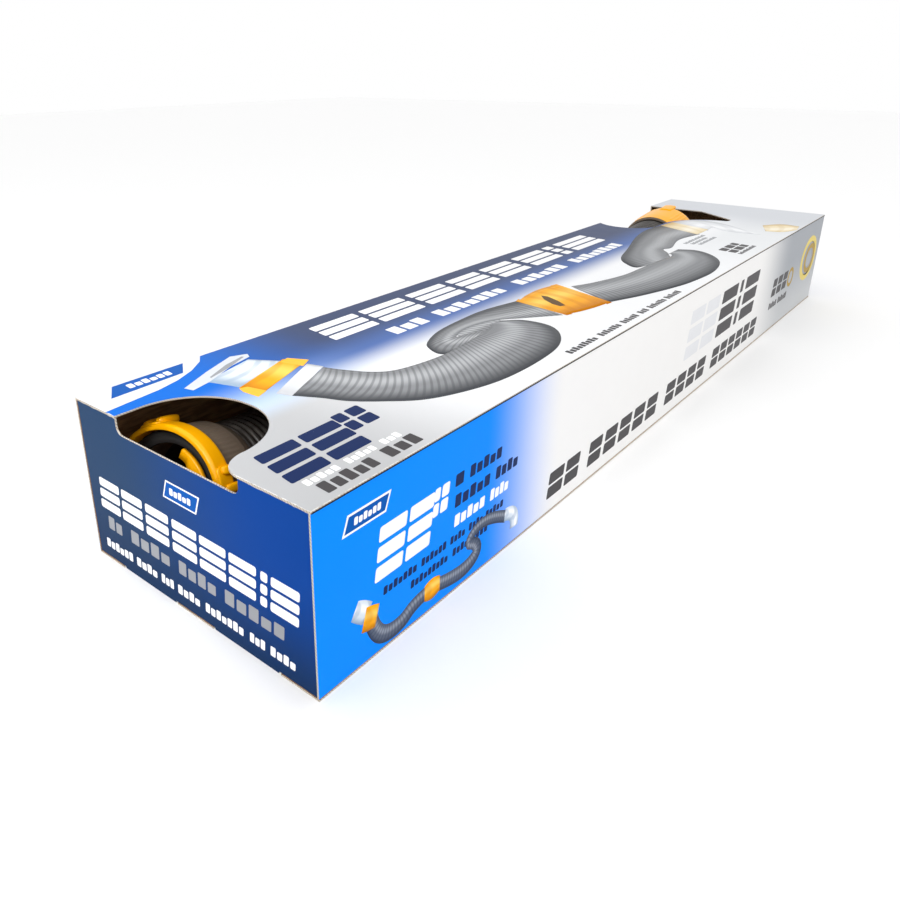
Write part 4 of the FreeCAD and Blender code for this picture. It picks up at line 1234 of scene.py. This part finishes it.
hose_ink = tube_ink("print_hose", ink(74, 76, 80), ink(138, 140, 143), ink(178, 180, 183), 0.0058)
small_hose_ink = tube_ink("print_small_hose", ink(52, 62, 82), ink(88, 96, 112),
                          ink(140, 146, 156), 0.0030, bow=0.001)
orange_ink = tube_ink("print_orange_part", ink(196, 120, 0), ink(246, 168, 20), ink(255, 206, 92),
                      0.019, 0.35, 0.008)
glass_ink = tube_ink("print_clear_part", ink(150, 170, 190), ink(214, 222, 230),
                     ink(250, 251, 252), 0.013, 0.5, 0.006)
faded_ink = tube_ink("print_faded_part", ink(206, 180, 130), ink(236, 220, 184),
                     ink(246, 238, 218), 0.02, 0.3, 0.008)
pale_ink = tube_ink("print_pale_part", ink(196, 198, 202), ink(222, 224, 227), ink(240, 241, 243),
                    0.03, 0.3, 0.004)
print("six tube inks")

# %% [markdown]
# ## Ribbons
# A pictured tube is a ribbon of film. A slim one follows a smooth line with a width at each
# point. A bold one is drawn by its two edges, because a coiled hose seen from the side swells
# and narrows too much for a line and a width.


# %% Ribbons
def ribbon_film(name, flat, marks, v, lay, finish, layer, rise):
    """Closed film over a grid of flat points, with its map of distance and across.

    Its top climbs from layer to layer + rise along the ribbon, so a loop passes over itself."""
    steps, wide = flat.shape[:2]
    share = (marks / marks[-1])[:, None] * np.ones(wide)
    upper = lay(flat.reshape(-1, 2), (FILM * (layer + rise * share)).ravel())
    lower = lay(flat.reshape(-1, 2), np.zeros(steps * wide))
    upper, lower = (side.reshape(steps, wide, 3) for side in (upper, lower))
    piece = skin(name, [np.concatenate([lower, upper[:, ::-1]], axis=1)], finish, wrap_rows=False)
    across = np.tile(np.concatenate([v, v[::-1]]), steps)
    run = np.repeat(marks, 2 * wide)
    corner = np.empty(len(piece.data.loops), dtype=np.int32)
    piece.data.loops.foreach_get("vertex_index", corner)
    place = np.column_stack([run[corner], across[corner]]).astype(np.float32)
    piece.data.uv_layers.new(name="print").data.foreach_set("uv", place.ravel())
    settle(piece, "carton", "printed_board")


def ribbon(name, stations, lay, finish, layer, rise):
    """Ribbon through stations of (x, y, half width) in mm.

    A point is the smooth line's point plus v * half width * its normal, with v from -1 to 1."""
    line, marks = smooth_line(np.array(stations, float) * MM, 2.0 * MM)
    along = np.gradient(line[:, :2], axis=0)
    along /= np.linalg.norm(along, axis=1)[:, None]
    normal = np.column_stack([-along[:, 1], along[:, 0]])
    v = np.linspace(-1, 1, 11)
    flat = line[:, None, :2] + (v[None, :] * line[:, 2:])[..., None] * normal[:, None]
    ribbon_film(name, flat, marks, v, lay, finish, layer, rise)


def glide(rows, count):
    """Smooth curve through rows of numbers: Catmull-Rom, evenly stepped from row to row.

    Between rows b and c, with a before and d after, it is
    ((2b) + (c-a)t + (2a-5b+4c-d)t^2 + (3b-a-3c+d)t^3) / 2."""
    rows = np.array(rows, float)
    padded = np.vstack([2 * rows[0] - rows[1], rows, 2 * rows[-1] - rows[-2]])
    place = np.linspace(0, len(rows) - 1, count)
    number = np.minimum(place.astype(int), len(rows) - 2)
    t = (place - number)[:, None]
    a, b, c, d = (padded[number + k] for k in range(4))
    return (2 * b + (c - a) * t + (2 * a - 5 * b + 4 * c - d) * t ** 2
            + (3 * b - a - 3 * c + d) * t ** 3) / 2


def between(name, sections, lay, finish, layer, rise=0.1):
    """Ribbon between two edges; a section is (x, y) on one edge and (x, y) on the other.

    Across it, a point is the edges' points weighted by (1 + v) / 2 and (1 - v) / 2."""
    if len(sections) < 3:
        sections = [sections[0], tuple(np.mean(sections, axis=0)), sections[-1]]
    edge = glide(sections, 12 * (len(sections) - 1) + 1) * MM
    v = np.linspace(1, -1, 13)
    share = v[None, :, None]
    flat = edge[:, None, :2] * (1 + share) / 2 + edge[:, None, 2:] * (1 - share) / 2
    steps = np.hypot(*np.diff(flat[:, len(v) // 2], axis=0).T)
    ribbon_film(name, flat, np.append(0, np.cumsum(steps)), v, lay, finish, layer, rise)


# %% [markdown]
# ## The picture on the top
# Two hoses joined by a coupling cross the top, each looped over itself. Each half of a loop is
# its own ribbon, so the nearer half lies over the farther one.

# %% The two pictured hoses
HOSE_ONE = [
    (153, 23, 99, 2), (158, 9, 110, -18), (169, -12, 118, -36), (182, -23, 134, -56),
    (205, -29, 154, -75), (235, -32, 186, -89), (265, -30, 222, -97), (292, -27, 268, -98),
    (307, -25, 309, -93), (315, -23, 338, -79), (322, -20, 353, -60), (324, -18, 352, -35),
    (314, -17, 338, -20)]
HOSE_TWO = [
    (307, -25, 274, -34), (293, -19, 246, -36), (282, -16, 233, -29), (277, -14, 238, -14),
    (293, -9, 249, -4), (312, -9, 277, 6), (336, -16, 315, 10), (360, -34, 356, 10),
    (388, -55, 405, 1)]
HOSE_THREE = [
    (482, -14, 452, -69), (511, -25, 493, -84), (558, -36, 540, -97), (596, -38, 578, -104),
    (650, -40, 633, -107), (674, -43, 682, -98), (686, -40, 713, -79), (690, -36, 728, -55),
    (681, -35, 720, -35)]
HOSE_FOUR = [
    (692, -54, 660, -38), (668, -50, 603, -35), (680, -40, 610, -16), (694, -32, 635, 1),
    (709, -21, 688, 16), (725, -25, 754, 35), (777, -15, 809, 44), (829, -23, 861, 41)]
HOSE_FOLD = [(279, -8, 279, -26), (308, -4, 308, -32), (340, -12, 336, -28)]
for name, sections, layer, rise in (("fold", HOSE_FOLD, 0.5, 0.1), ("two", HOSE_TWO, 1, 1.0),
                                    ("one", HOSE_ONE, 2.2, 1.0), ("four", HOSE_FOUR, 1, 1.0),
                                    ("three", HOSE_THREE, 2.2, 1.0)):
    between(f"top_picture_hose_{name}", sections, on_top_reading, hose_ink, layer, rise)
print("pictured hoses laid")

# %% [markdown]
# The fittings in the picture are small films: a coupling between the hoses, a clear adapter
# with its ring at the near end, and a pale elbow with its rings at the far end. Round ones are
# ribbons between two edges, and the rest are outlines.

# %% The pictured fittings
COUPLING = [(400, 0, 392, -56), (425, 5, 408, -62), (452, 6, 430, -67), (479, 1, 452, -70)]
COUPLING_SLOT = [(432, -7), (433, -14), (426, -29), (417, -42), (411, -40), (413, -30), (422, -16)]
CLEAR_FLANGE = [(59, 71), (61, 63), (79, 67), (110, 80), (132, 85), (135, 91), (122, 97), (90, 85)]
CLEAR_LINE = [(84, 74), (84, 72), (105, 78), (129, 88), (128, 90), (108, 85)]
UPPER_TAB = [(139, 57), (149, 59), (157, 43), (145, 37)]
LOWER_TAB = [(84, 40), (90, 38), (94, 22), (83, 18), (82, 33)]
PALE_ELBOW = [(858, -23, 888, 38), (885, -21, 917, 28), (871, -42, 928, 5), (871, -66, 919, -26),
              (875, -87, 887, -69)]
LAST_RING = [(903, -85, 943, -70), (912, -105, 967, -89), (938, -116, 965, -112)]
for draw, name, shape, finish, layer in (
        (between, "coupling", COUPLING, orange_ink, 3.3),
        (between, "coupling_near_rim", [(399, 2, 390, -58), (407, 4, 397, -60)], orange_ink, 3.6),
        (between, "coupling_far_rim", [(471, 4, 446, -71), (480, 2, 454, -72)], orange_ink, 3.6),
        (inked, "coupling_slot", [COUPLING_SLOT], umber_ink, 3.8),
        (between, "clear_body", [(127, 81, 77, 69), (141, 59, 87, 38)], glass_ink, 2.0),
        (inked, "clear_flange", [CLEAR_FLANGE], silver_ink, 2.4),
        (inked, "clear_line", [CLEAR_LINE], ash_ink, 2.7),
        (between, "hose_band", [(150, 38, 95, 13), (154, 24, 99, 1)], pale_ink, 3.4),
        (between, "ring", [(145, 60, 85, 41), (154, 43, 84, 19)], orange_ink, 3.6),
        (inked, "ring_tabs", [UPPER_TAB, LOWER_TAB], amber_ink, 3.8),
        (between, "elbow", PALE_ELBOW, pale_ink, 3.4),
        (between, "far_ring", [(824, -21, 854, 41), (866, -21, 888, 38)], faded_ink, 3.6),
        (between, "last_ring", LAST_RING, faded_ink, 3.7)):
    draw(f"top_picture_{name}", shape, on_top_reading, finish, layer)
print("pictured fittings laid")

# %% [markdown]
# ## The right side
# Its lines read along the carton: x from the near end, y up from the floor, in mm. Blocks at an
# even pitch are given by a start, a pitch, a width and a count.


# %% Print on the right side
def row(start, pitch, wide, count):
    """Spans of an even row of blocks."""
    return [(start + pitch * k, start + pitch * k + wide) for k in range(count)]


title_row = [(262, 287), (291, 315)] + row(333, 31, 25, 5) + row(505, 29.5, 24, 4)
title_row += row(640, 28, 23, 6)
navy_note = words([(132, 144), (149, 190)], 84, 93, 0.7) + words([(132, 176), (182, 213)],
                                                                 68, 77.5, 0.7)
small_lines = words([(58, 92), (96, 124), (128, 146), (150, 168), (171, 195)], 41, 47) + words(
    [(85, 126), (131, 150), (154, 175)], 30, 36)
badge_border = outline((23, 99.5), (61, 99.5), (66, 112.5), (28, 112.5))
lay_films(on_right_print, [
    ("side_badge_border", [badge_border], white_ink, 1),
    ("side_badge", [outline((25, 101), (60, 101), (64, 111), (29, 111))], badge_ink, 2),
    ("side_badge_line", words([(33, 57)], 103.6, 108.6), white_ink, 3),
    ("side_amount_blocks", blocks([(50, 76), (79, 104)], 54, 91), white_ink, 1),
    ("side_amount_unit", blocks([(107, 113), (115, 123)], 72, 92, 1), white_ink, 1),
    ("side_note_navy", navy_note, navy_ink, 1),
    ("side_note_white", words([(132, 170), (176, 201)], 53, 62), white_ink, 1),
    ("side_small_lines", small_lines, navy_ink, 1),
    ("side_title_line", blocks(title_row, 14, 37, 1), slate_ink, 1),
    ("side_large_blocks", blocks([(642, 694), (704, 714), (724, 776)], 51, 104), slate_ink, 1),
    ("side_faint_blocks", blocks([(546, 586), (592, 632)], 51, 104), haze_ink, 1),
    ("side_mark_blocks", blocks([(858, 876), (881, 901), (906, 926)], 50, 74, 1), slate_ink, 1),
    ("side_mark_line", words([(856, 892), (898, 940)], 33, 42), slate_ink, 1)])

# %% [markdown]
# ## The pictures on the right side
# A small picture of the joined hose crosses the blue end, and a pictured ring stands at the far
# end. A thin dark film along the fold beside the top is a painted shadow of the top panel's edge.


# %% Pictures on the right side
def ring_band(centre, outer, inner, wide=1.0):
    """Band between two ovals, as one outline with a hairline slit."""
    loop = np.vstack([arc(centre, outer, 0, 359, 48), arc(centre, inner, 359, 0, 48)])
    loop[:, 0] = centre[0] + (loop[:, 0] - centre[0]) * wide
    return loop


lay_films(on_right_print, [
    ("side_mark_ring", [ring_band((946, 61), 14, 9)], gold_ink, 1),
    ("side_ring_picture_outer", [ring_band((1034, 72), 33, 24, 1.25)], lemon_ink, 1),
    ("side_ring_picture_fill", [ring_band((1037, 71), 25, 12, 1.2)], ash_ink, 1),
    ("side_ring_picture_inner", [ring_band((1040, 71), 22, 15, 1.2)], gold_ink, 2)])
SMALL_HOSE_ONE = [(46, 33, 6), (48, 22, 6), (58, 10, 6.5), (76, 9, 6.5), (88, 16, 6),
                  (101, 17, 5.5)]
SMALL_HOSE_TWO = [(113, 17, 5.5), (128, 13, 6), (148, 11, 6.5), (163, 17, 6), (160, 27, 5),
                  (148, 31, 4.5), (160, 40, 4.5), (182, 38, 5), (200, 29, 5)]
for name, stations, finish, layer, rise in (
        ("hose_one", SMALL_HOSE_ONE, small_hose_ink, 1, 0.6),
        ("hose_two", SMALL_HOSE_TWO, small_hose_ink, 1, 0.8),
        ("coupling", [(100, 17, 6), (104, 17, 8.2), (112, 17, 8.2), (117, 17, 6)], orange_ink,
         2.2, 0.1),
        ("ring", [(40, 33.5, 8.5), (45, 32, 9), (52, 30, 8)], orange_ink, 2.4, 0.1),
        ("clear", [(32, 45, 6.5), (37, 42, 8), (43, 37, 7.5)], glass_ink, 2.0, 0.1),
        ("elbow", [(198, 31, 5.5), (207, 30, 6), (213, 22, 6), (212, 14, 5.5)], glass_ink,
         2.2, 0.1)):
    ribbon(f"side_picture_{name}", stations, on_right_print, finish, layer, rise)
# The dark film along the fold is a painted shadow of the top panel's edge over the side.
inked("right_fold_painted_shadow", [bar(0.5, 126.5, 1087.5, 127.6, 0.2)], on_right_fold_shadow, fold_shadow_ink)
print("ring, small hose and fold line laid")

# %% [markdown]
# ## The near end
# Its print rides on the near flap, so it turns away with the flap as it opens. Here x runs
# across from the middle and y up from the floor, in mm.

# %% Print on the near end
end_spans = [(-104, -79), (-76, -51), (-47, -21), (-17, 9), (12, 38), (41, 66), (70, 76), (79, 103)]
end_caption = [(-105, -70), (-66, -40), (-36, -21), (-17, 8), (13, 52), (57, 72), (76, 99)]
end_badge = outline((-19.4, 86.2), (13.1, 86.2), (17.3, 97.8), (-15.2, 97.8))
lay_films(on_near_print, [
    ("end_badge_border", [outline((-21, 85), (14, 85), (19, 99), (-16, 99))], white_ink, 1),
    ("end_badge", [end_badge], badge_ink, 2),
    ("end_badge_line", words([(-13, 10)], 89.2, 94.6), white_ink, 3),
    ("end_title_blocks", blocks(end_spans, 45.5, 71, 2, 0.1), white_ink, 1),
    ("end_second_line", words([(-98, -79), (-69, -21), (-13, 28), (35, 92)], 29, 40, 0.8),
     ash_ink, 1),
    ("end_caption", words(end_caption, 11, 18.5), white_ink, 1)], "near_flap")

# %% [markdown]
# ## The camera
# A long object looks right only from the right distance, because that sets how quickly it
# narrows. The camera stands off the near right corner, about 0.2 m above the top, and looks
# along the carton. Its shift slides the picture in the frame without turning the camera.


# %% Camera
def turn_to(thing, forward, roll=0.0):
    """Turn an object's -Z along a direction, with its Y up, then roll it, in degrees."""
    thing.rotation_mode = "QUATERNION"
    level = forward.to_track_quat("-Z", "Y")
    thing.rotation_quaternion = level @ Quaternion((0, 0, 1), math.radians(roll))


camera_data = bpy.data.cameras.new("camera")
camera = bpy.data.objects.new("camera", camera_data)
bpy.context.scene.collection.objects.link(camera)
bpy.context.scene.camera = camera
camera.location = (0.3719, -0.7832, 0.3443)
bearing = math.radians(-40.725)
pitch = math.radians(-21.807)
turn_to(camera, Vector((math.sin(bearing) * math.cos(pitch), math.cos(bearing) * math.cos(pitch),
                        math.sin(pitch))), -0.485)
camera_data.lens = 30.99
camera_data.shift_x = 0.0778
camera_data.shift_y = -0.0844
camera_data.clip_start = 0.01
print("camera at", [round(value, 3) for value in camera.location], "lens", camera_data.lens, "mm")

# %% [markdown]
# ## Floor and light
# The floor and the sky are plain white, so the carton stands in soft light from everywhere. Two
# soft boxes shape its sides, and a third with a narrow beam reaches into the near window.

# %% Floor and sky
FLOOR_REACH = 6.0
floor_corners = FLOOR_REACH * np.array([(-1, -1, 0), (1, -1, 0), (1, 1, 0), (-1, 1, 0)], float)
floor_white = make_finish("floor_white", (0.97, 0.97, 0.97, 1), 0.6, mottle=0.0, bump=0)
make_piece("floor", floor_corners, [(0, 1, 2, 3)], [floor_white])
world = bpy.data.worlds.new("studio")
bpy.context.scene.world = world
world.use_nodes = True
world.node_tree.nodes["Background"].inputs["Color"].default_value = (1, 1, 1, 1)
world.node_tree.nodes["Background"].inputs["Strength"].default_value = 1.0
bpy.context.scene.view_settings.view_transform = "Standard"
print("floor", 2 * FLOOR_REACH, "m across")


# %% Soft boxes
def area_light(name, place, target, size, power, spread=180):
    """A square soft box that looks at a point; spread, in degrees, narrows its beam."""
    data = bpy.data.lights.new(name, "AREA")
    data.spread = math.radians(spread)
    data.size = size
    data.energy = power
    lamp = bpy.data.objects.new(name, data)
    bpy.context.scene.collection.objects.link(lamp)
    lamp.location = place
    turn_to(lamp, Vector(target) - Vector(place))
    print(f"{name}: {power} W")


area_light("key", (1.2, -0.9, 1.9), (0, 0, 0), 1.4, 9)
area_light("fill", (-1.6, -1.4, 1.2), (0, 0, 0), 1.8, 1.5)
area_light("window_light", (0.25, -1.35, 0.95), (-0.06, -0.50, 0.12), 0.3, 0.23, 24)
